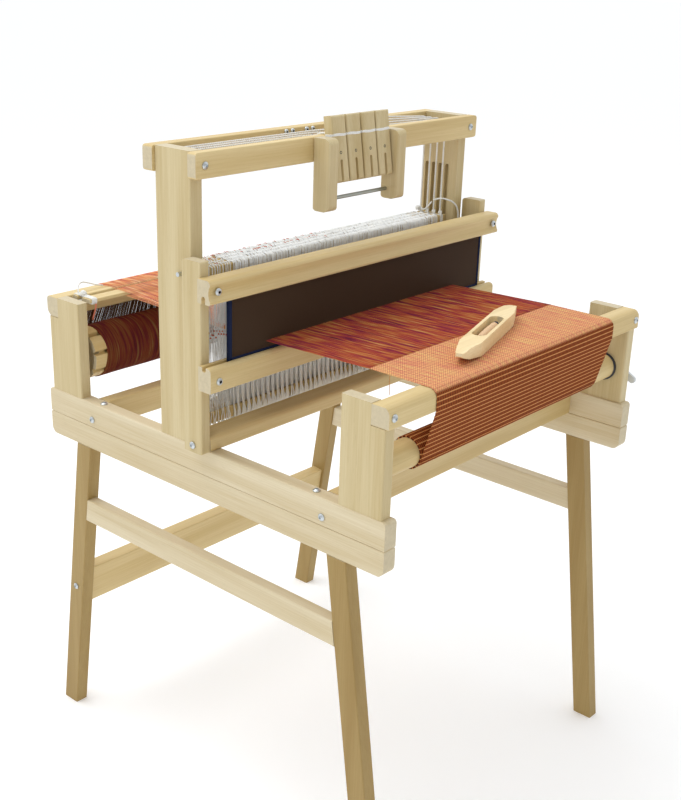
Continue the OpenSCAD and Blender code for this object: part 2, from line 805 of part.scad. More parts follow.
function warp_line(over) = let (up = over * stick_off, z1 = stick_z, z2 = stick_2_z)
    concat(
        [[-fell_y, web_z], [shaft_y(1) - 20, eye_z], [shaft_y(shaft_n) + 20, eye_z],
         [stick_y - stick_w / 2 - 8, z1 + up], [stick_y + stick_w / 2 - 1, z1 + up],
         [stick_2_y - stick_w / 2 + 4, z2 - up], [stick_2_y + stick_w / 2 - 6.5, z2 - up]],
        [[beam_y - back_w, web_z + 0.2]],
        arc([beam_y - back_corner_r, post_z - back_corner_r], back_corner_r + line_gap, 90, 0, 15),
        [[drum_y + wrap_r, drum_z]]);

module warp() {
    mid = (warp_n - 1) / 2;
    color([0.75, 0.3, 0.15]) for (i = [0 : warp_n - 1])
        along_x(warp_x + (i - mid) * warp_pitch - end_w / 2, end_w)
            strip(warp_line(i % 2 == 0 ? 1 : -1), end_t);
}

// The tangent from the breast beam's lower front edge to the cloth on the roller
tangent_from = [-beam_y - line_gap, post_z - breast_h + 2];
tangent_to = tangent_from - [roller_y, roller_z];
tangent_a = atan2(tangent_to[1], tangent_to[0]) + acos(roll_r / norm(tangent_to));
cloth_line = concat(
    [[-fell_y - 0.2, web_z]],
    arc([-beam_y + breast_r, post_z - breast_r], breast_r + line_gap, 90, 180, 10),
    [tangent_from, [roller_y, roller_z] + roll_r * [cos(tangent_a), sin(tangent_a)]]);

module cloth() {
    color([0.85, 0.4, 0.28]) along_x(web_left, web_w) strip(cloth_line, cloth_t);
}

module lease_sticks() {
    color(BIRCH) {
        board_x(-stick_l / 2, stick_y - stick_w / 2, stick_z - stick_t / 2, stick_l, stick_w, stick_t, 2);
        board_x(-stick_l / 2, stick_2_y - stick_w / 2 + 5, stick_2_z - stick_t / 2,
            stick_l, stick_w - 12, stick_t, 2);
    }
}

// Cord ties that hold the lease sticks to each other
module lease_ties() {
    y0 = stick_y - stick_w / 2 - seat_gap;
    y1 = stick_2_y + stick_w / 2 - 7 + seat_gap;
    z0 = min(stick_z, stick_2_z) - stick_t / 2 - seat_gap;
    z1 = max(stick_z, stick_2_z) + stick_t / 2 + seat_gap;
    color(CORD) for (x = [-stick_l / 2 + 8, stick_l / 2 - 11])
        along_x(x, 3) translate([y0 - 2, z0 - 2]) difference() {
            even_plate(y1 - y0 + 4, z1 - z0 + 4, 4);
            translate([2, 2]) even_plate(y1 - y0, z1 - z0, 2);
        }
}

// Roller and drum
module cloth_roller() {
    color(BIRCH) {
        pin_x(-post_inner + 1, 2 * post_inner - 2, roller_y, roller_z, roller_r);
        pin_x(-left_end, left_end + arm_x, roller_y, roller_z, journal_r);
    }
}

module wound_cloth() {
    color([0.75, 0.35, 0.25]) translate([web_left, roller_y, roller_z]) rotate([0, 90, 0]) rotate_extrude()
        translate([roller_r + roll_gap, 0]) square([cloth_roll, web_w]);
}

module warp_drum() {
    disc_x = [-drum_x + 20, -drum_x / 3, drum_x / 3, drum_x - 20];
    color(BIRCH) {
        for (x = disc_x) pin_x(x - 7, 14, drum_y, drum_z, drum_r - slat_t);
        pin_x(-left_end, left_end + arm_x, drum_y, drum_z, journal_r);
        translate([-drum_x, drum_y, drum_z]) rotate([90, 0, 90]) linear_extrude(2 * drum_x) intersection() {
            difference() {
                circle(drum_r, $fn = 96);
                circle(drum_r - slat_t, $fn = 96);
            }
            for (i = [0 : slat_n / 2 - 1]) rotate(i * 360 / slat_n + 10)
                square([2 * drum_r, slat_w], center = true);
        }
    }
}

module wound_warp() {
    mid = (warp_n - 1) / 2;
    base = warp_roll / 2;
    color([0.4, 0.15, 0.12]) translate([warp_x, drum_y, drum_z]) rotate([90, 0, 90]) rotate_extrude()
        translate([drum_r + roll_gap, 0]) {
            translate([0, -web_w / 2]) square([base, web_w]);
            for (i = [0 : warp_n - 1]) translate([base - 0.1, (i - mid) * warp_pitch - end_w / 2])
                square([warp_roll - base + 0.1, end_w]);
        }
}

// Ratchet wheel with a hub and a lever handle; teeth slope one way and stop the other
function tooth_points() = [for (i = [0 : tooth_n - 1], step = [0, 1])
    (step == 0 ? ratchet_r : ratchet_r - tooth_h) *
    [cos((i + step * 0.98) * 360 / tooth_n), sin((i + step * 0.98) * 360 / tooth_n)]];

module ratchet(arm_angle) {
    color(STEEL) difference() {
        union() {
            along_x(wheel_x, wheel_t) polygon(tooth_points());
            along_x(wheel_x, arm_x + arm_t - wheel_x) circle(hub_r);
            along_x(arm_x, arm_t) rotate(arm_angle) {
                translate([0, -7]) square([handle_l, 14]);
                translate([handle_l, 0]) circle(7);
            }
        }
        pin_x(wheel_x - 1, arm_x + 2 - wheel_x, 0, 0, journal_r + 0.02);
    }
}

module pawl() {
    root_r = ratchet_r - tooth_h;
    color(STEEL) along_x(wheel_x, wheel_t) difference() {
        union() {
            translate([pawl_off, pawl_off]) circle(8);
            polygon([[2, root_r + 0.8], [pawl_off, pawl_off - 8], [pawl_off - 3, pawl_off + 7.4],
                [0.5, ratchet_r + 3], [0.9, ratchet_r - 0.4]]);
        }
        translate([pawl_off, pawl_off]) circle(bolt_r + pin_gap);
    }
}

module cloth_ratchet() {
    translate([0, roller_y, roller_z]) ratchet(210);
}

module cloth_pawl() {
    translate([0, roller_y, roller_z]) pawl();
}

module warp_ratchet() {
    translate([0, drum_y, drum_z]) mirror([0, 1, 0]) ratchet(200);
}

module warp_pawl() {
    translate([0, drum_y, drum_z]) mirror([0, 1, 0]) pawl();
}

// Boat shuttle: a long hull with blunt noses and a well for the bobbin
module shuttle_frame() {
    translate([0, shuttle_y, shuttle_z]) rotate([0, 0, shuttle_turn]) children();
}

module shuttle_plan() {
    l = shuttle_l / 2;
    w = shuttle_w / 2;
    polygon([[-l, -4], [-l + 6, -8], [-l + shuttle_nose, -w], [l - shuttle_nose, -w], [l - 6, -8], [l, -4],
        [l, 4], [l - 6, 8], [l - shuttle_nose, w], [-l + shuttle_nose, w], [-l + 6, 8], [-l, 4]]);
}

module shuttle_side() {
    l = shuttle_l / 2;
    h = shuttle_h;
    polygon([[-l + 78, 0], [l - 78, 0], [l - 24, 7], [l - 4, 14], [l, 17], [l - 2, h - 4], [l - 26, h],
        [-l + 26, h], [-l + 2, h - 4], [-l, 17], [-l + 4, 14], [-l + 24, 7]]);
}

module shuttle() {
    color("wheat") shuttle_frame() {
        difference() {
            intersection() {
                along_z(0, shuttle_h) shuttle_plan();
                along_y(-shuttle_w / 2, shuttle_w) shuttle_side();
            }
            along_z(4, shuttle_h) translate([-well_l / 2, -well_w / 2]) even_plate(well_l, well_w, 12.9);
        }
        pin_x(-well_l / 2, well_l, 0, shuttle_h / 2 + 1, spindle_r);
    }
}

// The weft on the bobbin: one yarn in a row of turns, its axis along +Z
function weft_route() = [for (i = [0 : weft_turns * weft_rings]) let (turn = i / weft_rings)
    [weft_turn_r * cos(360 * turn), weft_turn_r * sin(360 * turn),
     bobbin_l / 2 + (turn - weft_turns / 2) * weft_pitch]];
function least_gap(p, step, r) = min([for (i = [0 : len(p) - 1 - step]) norm(p[i + step] - p[i])]) - 2 * r;
echo(str("Least gap between two turns of the weft: ", least_gap(weft_route(), weft_rings, weft_r), " mm"));

module bobbin() {
    color("ivory") shuttle_frame() translate([-bobbin_l / 2, 0, shuttle_h / 2 + 1]) rotate([0, 90, 0]) {
        rotate_extrude() difference() {
            polygon([[0, 0], [core_r + 2, 0], [core_r + 2, 3], [core_r, 4], [core_r, bobbin_l - 4],
                [core_r + 2, bobbin_l - 3], [core_r + 2, bobbin_l], [0, bobbin_l]]);
            translate([-1, -1]) square([1 + spindle_r + pin_gap, bobbin_l + 2]);
        }
        tube(weft_route(), weft_r, 6);
    }
}

stand_rail(LEFT);  // stand_rail_left
stand_rail(RIGHT);  // stand_rail_right
leg(LEFT, 1);  // leg_front_left
leg(RIGHT, 1);  // leg_front_right
leg(LEFT, 0);  // leg_rear_left
leg(RIGHT, 0);  // leg_rear_right
side_stretcher(LEFT);  // side_stretcher_left
side_stretcher(RIGHT);  // side_stretcher_right
rear_stretcher();
side_rail(LEFT);  // side_rail_left
side_rail(RIGHT);  // side_rail_right
cross_rail(-cross_rail_y);  // front_cross_rail
cross_rail(cross_rail_y);  // rear_cross_rail
beater_pivot_board();
front_post(LEFT);  // front_post_left
front_post(RIGHT);  // front_post_right
rear_post(LEFT);  // rear_post_left
rear_post(RIGHT);  // rear_post_right
breast_beam();
back_beam();
castle_upright(LEFT);  // castle_upright_left
castle_upright(RIGHT);  // castle_upright_right
castle_front_rail();
castle_rear_rail();
lever_cheek(LEFT);  // lever_cheek_left
lever_cheek(RIGHT);  // lever_cheek_right
castle_rods();
frame_bolts();
lease_sticks();
lease_ties();
cord_runs();
warp();
cloth();
beater_sword(LEFT);  // beater_sword_left
beater_sword(RIGHT);  // beater_sword_right
beater_cap();
beater_race();
reed();
shaft(1);  // shaft_1
shaft(2);  // shaft_2
shaft(3);  // shaft_3
shaft(4);  // shaft_4
lift_cords(1);  // lift_cords_1
lift_cords(2);  // lift_cords_2
lift_cords(3);  // lift_cords_3
lift_cords(4);  // lift_cords_4
lever(1);  // lever_1
lever(2);  // lever_2
lever(3);  // lever_3
lever(4);  // lever_4
cloth_roller();
wound_cloth();
cloth_ratchet();
cloth_pawl();
warp_drum();
wound_warp();
warp_ratchet();
warp_pawl();
shuttle();
bobbin();
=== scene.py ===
"""Looks of the table loom: birch frame, space-dyed warp, started cloth, string heddles, reed and cords."""
import json
import math
import random

import bpy
from mathutils import Matrix, Vector


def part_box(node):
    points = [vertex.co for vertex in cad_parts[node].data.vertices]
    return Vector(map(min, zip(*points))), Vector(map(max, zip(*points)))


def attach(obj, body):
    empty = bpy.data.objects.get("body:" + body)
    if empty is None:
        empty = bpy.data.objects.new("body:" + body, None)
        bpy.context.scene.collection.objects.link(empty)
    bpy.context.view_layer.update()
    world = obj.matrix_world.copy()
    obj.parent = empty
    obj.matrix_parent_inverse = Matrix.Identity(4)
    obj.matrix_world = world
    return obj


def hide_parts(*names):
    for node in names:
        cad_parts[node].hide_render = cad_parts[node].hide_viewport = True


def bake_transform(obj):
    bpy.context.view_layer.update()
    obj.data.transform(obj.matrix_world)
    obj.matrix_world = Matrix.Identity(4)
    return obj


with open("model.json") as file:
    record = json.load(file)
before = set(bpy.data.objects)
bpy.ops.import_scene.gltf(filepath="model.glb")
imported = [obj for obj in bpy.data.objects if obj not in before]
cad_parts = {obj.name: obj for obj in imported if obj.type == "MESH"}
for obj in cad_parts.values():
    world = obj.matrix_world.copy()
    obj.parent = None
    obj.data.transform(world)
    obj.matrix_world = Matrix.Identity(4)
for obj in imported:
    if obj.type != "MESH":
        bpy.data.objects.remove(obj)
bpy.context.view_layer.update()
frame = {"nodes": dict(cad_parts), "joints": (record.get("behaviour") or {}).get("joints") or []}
NODES = frame["nodes"]
JOINTS = {joint["name"]: joint for joint in frame["joints"]}
MM = 0.001
Z = Vector((0, 0, 1))
SHAFTS = (1, 2, 3, 4)
LEFT_RIGHT = (-1, 1)

# Camera of the photograph, fitted to the loom's parallel rails
PHOTO_W, PHOTO_H = 681, 800
CAMERA_AT = Vector((-1.67973, -1.43953, 1.54457))
CAMERA_AZIMUTH = math.radians(48.315)
CAMERA_ELEVATION = math.radians(-21.22)
CAMERA_ROLL = math.radians(1.547)
FOCAL_PX = 1190.5
PRINCIPAL_PX = (318.8, 412.6)
SENSOR_MM = 36


def add_camera():
    data = bpy.data.cameras.new("camera")
    data.sensor_width = SENSOR_MM
    data.lens = FOCAL_PX / PHOTO_H * SENSOR_MM
    data.shift_x = (PHOTO_W / 2 - PRINCIPAL_PX[0]) / PHOTO_H
    data.shift_y = (PRINCIPAL_PX[1] - PHOTO_H / 2) / PHOTO_H
    data.clip_end = 100
    camera = bpy.data.objects.new("camera", data)
    bpy.context.scene.collection.objects.link(camera)
    az, el = CAMERA_AZIMUTH, CAMERA_ELEVATION
    ahead = Vector((math.sin(az) * math.cos(el), math.cos(az) * math.cos(el), math.sin(el)))
    level = Vector((math.cos(az), -math.sin(az), 0))
    lift = level.cross(ahead)
    right = math.cos(CAMERA_ROLL) * level + math.sin(CAMERA_ROLL) * lift
    up = math.cos(CAMERA_ROLL) * lift - math.sin(CAMERA_ROLL) * level
    turned = Matrix((right, up, -ahead)).transposed().to_4x4()
    camera.matrix_world = Matrix.Translation(CAMERA_AT) @ turned
    bpy.context.scene.camera = camera


# Places and sizes, most of them read from the frame
def joint_at(name):
    return Vector(JOINTS[name]["pos_m"])


def middle(node):
    low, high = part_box(node)
    return (low + high) / 2


def shaft_y(k):
    return middle(f"shaft_{k}").y


def lever_pivot(k):
    return Vector((middle(f"lever_{k}").x, PIVOT_Y, PIVOT_Z))


PIVOT_Y, PIVOT_Z = -30.6 * MM, 1170 * MM
CLOTH_LOW, CLOTH_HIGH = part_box("cloth")
CLOTH_W = CLOTH_HIGH.x - CLOTH_LOW.x
BREAST_LOW, BREAST_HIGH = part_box("breast_beam")
BACK_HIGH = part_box("back_beam")[1]
ROLLER_AXIS = joint_at("cloth_beam_turn")
DRUM_AXIS = joint_at("warp_beam_turn")
EYE_Z = middle("shaft_1").z + 17.5 * MM
WEB_Z = BREAST_HIGH.z + 1.0 * MM
GAP = 0.3 * MM
THREAD_R = 0.62 * MM
THREAD_PITCH = 2 * MM
THREADS = round(CLOTH_W / THREAD_PITCH)


def thread_x(i):
    """Threads lie at even steps over the cloth's width."""
    return CLOTH_LOW.x + (i + 0.5) * THREAD_PITCH


# Paths and closed rings
def circle(count, shift=0.0):
    """Angles of evenly spaced points round a circle."""
    return [2 * math.pi * (j + shift) / count for j in range(count)]


def closed(ring):
    return ring + ring[:1]


def ring_faces(rings, around, flip=False):
    """Quads between rings of points, each ring with the same number of points."""
    quads = []
    for i in range(rings - 1):
        here, there = i * around, (i + 1) * around
        for j in range(around):
            k = (j + 1) % around
            a, b, c, d = here + j, here + k, there + k, there + j
            quads.append((a, d, c, b) if flip else (a, b, c, d))
    return quads


def arc(centre, radius, start, end, steps):
    """Points of an arc in the plane of Y and Z, angles in degrees from +Y towards +Z."""
    points = []
    for i in range(steps + 1):
        a = math.radians(start + (end - start) * i / steps)
        points.append(Vector((centre.x, centre.y + radius * math.cos(a), centre.z + radius * math.sin(a))))
    return points


def finer(path, step):
    """The same path with points no further apart than step."""
    points = [path[0]]
    for a, b in zip(path, path[1:]):
        n = max(1, math.ceil((b - a).length / step))
        points += [a.lerp(b, (i + 1) / n) for i in range(n)]
    return points


def rounded(path):
    """The same path with its corners cut; the ends stay."""
    points = [path[0]]
    for a, b in zip(path, path[1:]):
        points += [a.lerp(b, 0.25), a.lerp(b, 0.75)]
    return points + [path[-1]]


def ways_along(path):
    """The way from the start of a path to each of its points."""
    ways = [0.0]
    for a, b in zip(path, path[1:]):
        ways.append(ways[-1] + (b - a).length)
    return ways


def headings(path):
    last = len(path) - 1
    return [(path[min(i + 1, last)] - path[max(i - 1, 0)]).normalized() for i in range(last + 1)]


def crossings(path):
    """At each point of a path, two directions across it that turn no more than the path does."""
    pairs, across = [], None
    for along in headings(path):
        if across is None:
            across = along.orthogonal().normalized()
        across = (across - along * across.dot(along)).normalized()
        pairs.append((across, along.cross(across)))
    return pairs


def at_x(path, x):
    return [Vector((x, p.y, p.z)) for p in path]


def vectors(points):
    return [Vector(p) for p in points]


BOX_FACES = [(0, 1, 3, 2), (4, 6, 7, 5), (0, 4, 5, 1), (2, 3, 7, 6), (0, 2, 6, 4), (1, 5, 7, 3)]


class Mesh:
    """Gathers the vertices and faces of one piece."""

    def __init__(self):
        self.points = []
        self.faces = []

    def add(self, points, faces):
        start = len(self.points)
        self.points += [tuple(p) for p in points]
        self.faces += [tuple(start + i for i in face) for face in faces]

    def tube(self, path, radius, sides=6):
        """A closed tube along a path; radius is one number, or a list with one for each point."""
        path = vectors(path)
        radii = radius if isinstance(radius, list) else [radius] * len(path)
        turns = [(math.cos(t), math.sin(t)) for t in circle(sides, 0.5)]
        rings = []
        for point, r, (a, b) in zip(path, radii, crossings(path)):
            rings += [point + r * (cos * a + sin * b) for cos, sin in turns]
        end = (len(path) - 1) * sides
        caps = [tuple(reversed(range(sides))), tuple(end + j for j in range(sides))]
        self.add(rings, ring_faces(len(path), sides) + caps)

    def block(self, low, high):
        xs, ys, zs = zip(low, high)
        self.add([(x, y, z) for x in xs for y in ys for z in zs], BOX_FACES)

    def lathe(self, axis, profile, turns, wobble=None):
        """A body round an axis along X; profile is a list of (x, radius), and wobble shifts each point."""
        rings = []
        for x, radius in profile:
            for a in circle(turns):
                dx, dr = wobble(x, radius, a) if wobble else (0, 0)
                y, z = axis.y + (radius + dr) * math.cos(a), axis.z + (radius + dr) * math.sin(a)
                rings.append(Vector((x + dx, y, z)))
        self.add(rings, ring_faces(len(profile), turns, flip=True))

    def make(self, name, material, smooth=True, bevel=0.0, ways=None):
        """The finished piece; ways gives each vertex its place on woven cloth."""
        data = bpy.data.meshes.new(name)
        data.from_pydata(self.points, [], self.faces)
        data.update()
        data.materials.append(material)
        data.polygons.foreach_set("use_smooth", [smooth] * len(data.polygons))
        if ways:
            layer = data.uv_layers.new(name="ways")
            layer.data.foreach_set("uv", [c for loop in data.loops for c in ways[loop.vertex_index]])
        return place_piece(name, data, bevel, segments=2)


def place_piece(name, data, bevel, segments):
    piece = bpy.data.objects.new(name, data)
    bpy.context.scene.collection.objects.link(piece)
    if bevel:
        modifier = piece.modifiers.new("edges", "BEVEL")
        modifier.width = bevel
        modifier.segments = segments
        modifier.limit_method = "ANGLE"
    return piece


# Materials
BLACK, WHITE = (0, 0, 0), (1, 1, 1)


class Paint:
    """A material and short calls that add nodes to it."""

    def __init__(self, name):
        self.material = bpy.data.materials.new(name)
        self.material.use_nodes = True
        self.tree = self.material.node_tree
        self.shader = self.tree.nodes["Principled BSDF"]

    def put(self, socket, value):
        if isinstance(value, bpy.types.NodeSocket):
            self.tree.links.new(value, socket)
        else:
            socket.default_value = value

    def node(self, kind, out=0, **values):
        made = self.tree.nodes.new(kind)
        for key, value in values.items():
            self.put(made.inputs[key.replace("_", " ")], value)
        return made.outputs[out]

    def math(self, operation, a, b=0.0):
        made = self.tree.nodes.new("ShaderNodeMath")
        made.operation = operation
        self.put(made.inputs[0], a)
        self.put(made.inputs[1], b)
        return made.outputs[0]

    def plus(self, a, b):
        return self.math("ADD", a, b)

    def times(self, a, b):
        return self.math("MULTIPLY", a, b)

    def place(self, scale, shift=(0, 0, 0)):
        """The point of the surface in the loom's own frame, scaled."""
        here = self.node("ShaderNodeTexCoord", out="Object")
        return self.node("ShaderNodeMapping", Vector=here, Scale=scale, Location=shift)

    def noise(self, vector, detail=2.0, roughness=0.5):
        return self.node("ShaderNodeTexNoise", Vector=vector, Scale=1.0, Detail=detail, Roughness=roughness)

    def ramp(self, factor, stops):
        made = self.tree.nodes.new("ShaderNodeValToRGB")
        elements = made.color_ramp.elements
        while len(elements) < len(stops):
            elements.new(0.5)
        for element, (place, colour) in zip(elements, stops):
            element.position = place
            element.color = (*colour, 1)
        self.put(made.inputs[0], factor)
        return made.outputs[0]

    def mask(self, factor, start, end):
        """Black up to start, white from end on."""
        return self.ramp(factor, [(start, BLACK), (end, WHITE)])

    def mix(self, factor, a, b):
        made = self.tree.nodes.new("ShaderNodeMix")
        made.data_type = "RGBA"
        self.put(made.inputs[0], factor)
        for socket, colour in ((made.inputs[6], a), (made.inputs[7], b)):
            self.put(socket, colour if isinstance(colour, bpy.types.NodeSocket) else (*colour, 1))
        return made.outputs[2]

    def bump(self, height, strength, distance):
        normal = self.node("ShaderNodeBump", Height=height, Strength=strength, Distance=distance)
        self.put(self.shader.inputs["Normal"], normal)

    def set(self, **values):
        for key, value in values.items():
            if key == "Base_Color" and not isinstance(value, bpy.types.NodeSocket):
                value = (*value, 1)
            self.put(self.shader.inputs[key.replace("_", " ")], value)
        return self.material


def srgb(r, g, b):
    """A colour given as a screen shows it, from 0 to 255, in linear light."""
    return tuple((c / 255 / 12.92) if c < 10.3 else ((c / 255 + 0.055) / 1.055) ** 2.4 for c in (r, g, b))


def shaded(colour, factor):
    return tuple(c * factor for c in colour)


def tinted(colour, tint):
    return tuple(c * t for c, t in zip(colour, tint))


BIRCH_LIGHT = srgb(221, 204, 166)
BIRCH_DARK = srgb(201, 179, 133)
END_GRAIN = srgb(206, 192, 160)


def birch(name, grain, tint, seed):
    """Birch with its fibres along the grain axis (0 is X, 1 is Y, 2 is Z) and greyer end grain."""
    paint = Paint(name)
    shift = (seed, seed * 2.3, seed * 3.7)

    def stretched(across, along):
        return paint.place([along if i == grain else across for i in range(3)], shift)

    bands = paint.noise(stretched(26, 1.3), detail=3, roughness=0.55)
    fibres = paint.noise(stretched(420, 7), detail=3, roughness=0.6)
    flecks = paint.noise(stretched(900, 55), detail=1)
    tone = paint.plus(paint.times(bands, 0.65), paint.times(fibres, 0.35))
    dark = tinted(BIRCH_DARK, tint)
    wood = paint.ramp(tone, [(0.36, dark), (0.64, tinted(BIRCH_LIGHT, tint))])
    wood = paint.mix(paint.times(paint.mask(flecks, 0.66, 0.76), 0.22), wood, shaded(dark, 0.62))
    normal = paint.node("ShaderNodeTexCoord", out="Normal")
    facing = paint.node("ShaderNodeSeparateXYZ", out=grain, Vector=normal)
    cut = paint.mask(paint.math("ABSOLUTE", facing), 0.82, 0.97)
    rings = paint.noise(paint.place((160, 160, 160), (seed, 0, seed)), detail=4, roughness=0.7)
    end = paint.ramp(rings, [(0.3, shaded(END_GRAIN, 0.86)), (0.7, END_GRAIN)])
    paint.bump(paint.plus(fibres, paint.times(flecks, 0.5)), 0.12, 0.6 * MM)
    rough = paint.plus(paint.times(fibres, 0.16), 0.44)
    return paint.set(Base_Color=paint.mix(cut, wood, end), Roughness=rough, Specular_IOR_Level=0.35)


def metal(name, colour, roughness, metallic=1.0):
    paint = Paint(name)
    spots = paint.noise(paint.place((500, 500, 500)), detail=3)
    shade = paint.mix(spots, shaded(colour, 0.82), colour)
    rough = paint.plus(paint.times(spots, 0.15), roughness)
    paint.bump(spots, 0.08, 0.2 * MM)
    return paint.set(Base_Color=shade, Roughness=rough, Metallic=metallic)


# Colours of the space-dyed yarn, from its dark to its light places
DYES = [(0.33, srgb(92, 42, 60)), (0.41, srgb(140, 48, 70)), (0.47, srgb(166, 68, 60)),
        (0.53, srgb(184, 98, 60)), (0.60, srgb(192, 128, 74)), (0.68, srgb(208, 164, 108))]
# The same yarn behind the shafts, painted lighter as if lit from behind: painted light
DYES_WITH_PAINTED_LIGHT = [(0.36, srgb(190, 96, 92)), (0.45, srgb(222, 138, 112)), (0.53, srgb(238, 166, 112)),
             (0.62, srgb(250, 208, 168))]
# Colours of painted shade: for the wound warp, and for the back warp low down
WOUND_SHADE = srgb(52, 18, 8)
BACK_SHADE = srgb(64, 46, 22)


def warp_yarn(name, dyes=DYES, dark=0.0, shade_below=None):
    """Space-dyed yarn: threads differ from one to the next and change colour slowly along their length.

    It is painted darker as a whole by the share dark, as painted shade where it is wound up, and is painted
    in shade below the height shade_below."""
    paint = Paint(name)
    wide = paint.noise(paint.place((150, 11, 11)), detail=1.5, roughness=0.6)
    narrow = paint.noise(paint.place((430, 17, 17)), detail=1.5, roughness=0.6)
    colour = paint.ramp(paint.plus(paint.times(wide, 0.45), paint.times(narrow, 0.55)), dyes)
    # Painted shade over the whole yarn, for the warp wound on the drum
    if dark:
        colour = paint.mix(dark, colour, WOUND_SHADE)
    # Painted shade on the yarn low down, below the height shade_below
    if shade_below:
        here = paint.node("ShaderNodeTexCoord", out="Object")
        height = paint.node("ShaderNodeSeparateXYZ", out="Z", Vector=here)
        full = shade_below - 12 * MM
        low = paint.node("ShaderNodeMapRange", Value=height, From_Min=shade_below, From_Max=full, To_Max=0.85)
        colour = paint.mix(low, colour, BACK_SHADE)
    paint.bump(paint.noise(paint.place((2600, 700, 700))), 0.5, 0.4 * MM)
    return paint.set(Base_Color=colour, Roughness=0.9, Specular_IOR_Level=0.1)


# Weft rows of the cloth, and the way from the fell where they begin to stand up as ridges and where the
# cloth's painted shade begins
ROW = 8.8 * MM
RIDGES_FROM = 135 * MM
RIDGES_RISE = 6 * MM
PALE_WEFT = [(0.36, srgb(214, 138, 108)), (0.5, srgb(226, 164, 114)), (0.64, srgb(228, 186, 122))]
CRIMSON_DOTS = [(0.4, srgb(138, 62, 72)), (0.55, srgb(168, 82, 66)), (0.66, srgb(188, 112, 70))]


def woven(name):
    """Plain weave: pale with crimson dots on top. Where it hangs down it is painted in shade: dark red-brown
    between its rows, with golden ridge crests that are lighter as if lit.

    A point's two coordinates, u across the cloth and v along it from the fell, are in metres."""
    paint = Paint(name)
    way = paint.node("ShaderNodeTexCoord", out="UV")
    u = paint.node("ShaderNodeSeparateXYZ", out="X", Vector=way)
    v = paint.node("ShaderNodeSeparateXYZ", out="Y", Vector=way)

    def wave(value, period):
        return paint.math("SINE", paint.times(value, 2 * math.pi / period))

    def spots(across, along):
        return paint.noise(paint.node("ShaderNodeMapping", Vector=way, Scale=(across, along, 1)))

    streak, patch, fine = spots(230, 16), spots(420, 190), spots(800, 600)
    row = paint.math("ABSOLUTE", wave(v, 2 * ROW))
    groove = paint.ramp(row, [(0.1, WHITE), (0.5, BLACK)])
    check = paint.times(wave(u, 5.6 * MM), wave(v, ROW / 2))
    dots = paint.mask(paint.plus(paint.times(check, 0.4), paint.times(fine, 0.7)), 0.36, 0.62)
    marked = paint.math("MAXIMUM", paint.times(groove, 0.45), paint.times(dots, 0.85))
    top = paint.mix(marked, paint.ramp(streak, PALE_WEFT), paint.ramp(patch, CRIMSON_DOTS))
    ticks = paint.mask(paint.plus(paint.times(wave(u, 4.5 * MM), 0.35), fine), 0.3, 0.8)
    # Where the cloth hangs down it is painted in shade: dark red with small darker ticks, and golden ridge
    # crests lighter as if lit
    shaded_red = paint.mix(ticks, srgb(72, 30, 14), srgb(158, 84, 34))
    shaded_red = paint.mix(paint.times(patch, 0.5), shaded_red, srgb(140, 64, 36))
    gold = paint.mix(streak, srgb(198, 124, 66), srgb(236, 178, 116))
    hanging = paint.mix(paint.times(paint.mask(row, 0.91, 0.99), 0.85), shaded_red, gold)
    # Past RIDGES_FROM the colours turn from those of the top to this painted shade
    full = RIDGES_FROM + RIDGES_RISE
    share = paint.node("ShaderNodeMapRange", Value=v, From_Min=RIDGES_FROM, From_Max=full)
    paint.bump(paint.plus(dots, fine), 0.45, 0.5 * MM)
    return paint.set(Base_Color=paint.mix(share, top, hanging), Roughness=0.9, Specular_IOR_Level=0.1)


def cotton(name, colour, shade=0.72):
    paint = Paint(name)
    twist = paint.noise(paint.place((900, 900, 420)), detail=3, roughness=0.7)
    paint.bump(twist, 0.6, 0.5 * MM)
    tint = paint.ramp(twist, [(0.3, shaded(colour, shade)), (0.62, colour)])
    return paint.set(Base_Color=tint, Roughness=0.9, Specular_IOR_Level=0.2)


def main_materials():
    return {
        "wood_x": birch("birch_across", 0, (0.99, 0.94, 0.77), seed=1.0),
        "wood_y": birch("birch_lengthwise", 1, (0.98, 1.02, 1.13), seed=4.0),
        "wood_z": birch("birch_upright", 2, (0.88, 0.88, 0.82), seed=7.0),
        # The legs' birch is painted much darker than the rest of the frame: painted shade
        "wood_legs_painted_shade": birch("birch_legs_painted_shade", 2, (0.55, 0.46, 0.27), seed=11.0),
        "shuttle_wood": birch("shuttle_wood", 0, (1.25, 1.22, 1.16), seed=15.0),
        "zinc": metal("zinc", (0.62, 0.66, 0.68), 0.28),
        "steel_rod": metal("steel_rod", (0.42, 0.44, 0.40), 0.34),
        "grey_iron": metal("grey_metal", srgb(222, 226, 228), 0.45, 0.2),
        # Near black for the recesses of bolts, screws and eyelets: painted shade in the hollows
        "recess_painted_shade": metal("recess_painted_shade", srgb(52, 50, 48), 0.4, 0.7),
        "dark_screw": metal("dark_screw", srgb(62, 66, 60), 0.6, 0.1),
        "black_ring": metal("black_ring", srgb(38, 38, 46), 0.5, 0.0),
        "reed": metal("reed_steel", srgb(96, 72, 52), 0.5, 0.2),
        "warp": warp_yarn("warp_front"),
        # The back warp: painted light in its lighter colours, and painted shade below 0.9 m
        "warp_back": warp_yarn("warp_back", DYES_WITH_PAINTED_LIGHT, shade_below=0.9),
        # Painted shade on the warp wound on the drum
        "warp_wound": warp_yarn("warp_wound", dark=0.72),
        "cloth": woven("woven_cloth"),
        "cord": cotton("white_cord", srgb(246, 246, 242), 0.8),
        "string": cotton("heddle_string", srgb(250, 252, 252), 0.9),
        "red_string": cotton("red_string", srgb(216, 124, 98)),
        "cream_yarn": cotton("cream_yarn", srgb(240, 206, 168)),
        "gold_yarn": cotton("gold_yarn", srgb(216, 150, 84)),
        "navy": cotton("navy_tape", srgb(22, 34, 66)),
    }


def both(*names):
    """The left and the right node of each name."""
    return [f"{name}_{side}" for name in names for side in ("left", "right")]


def each(name):
    """The node of each shaft."""
    return [f"{name}_{k}" for k in SHAFTS]


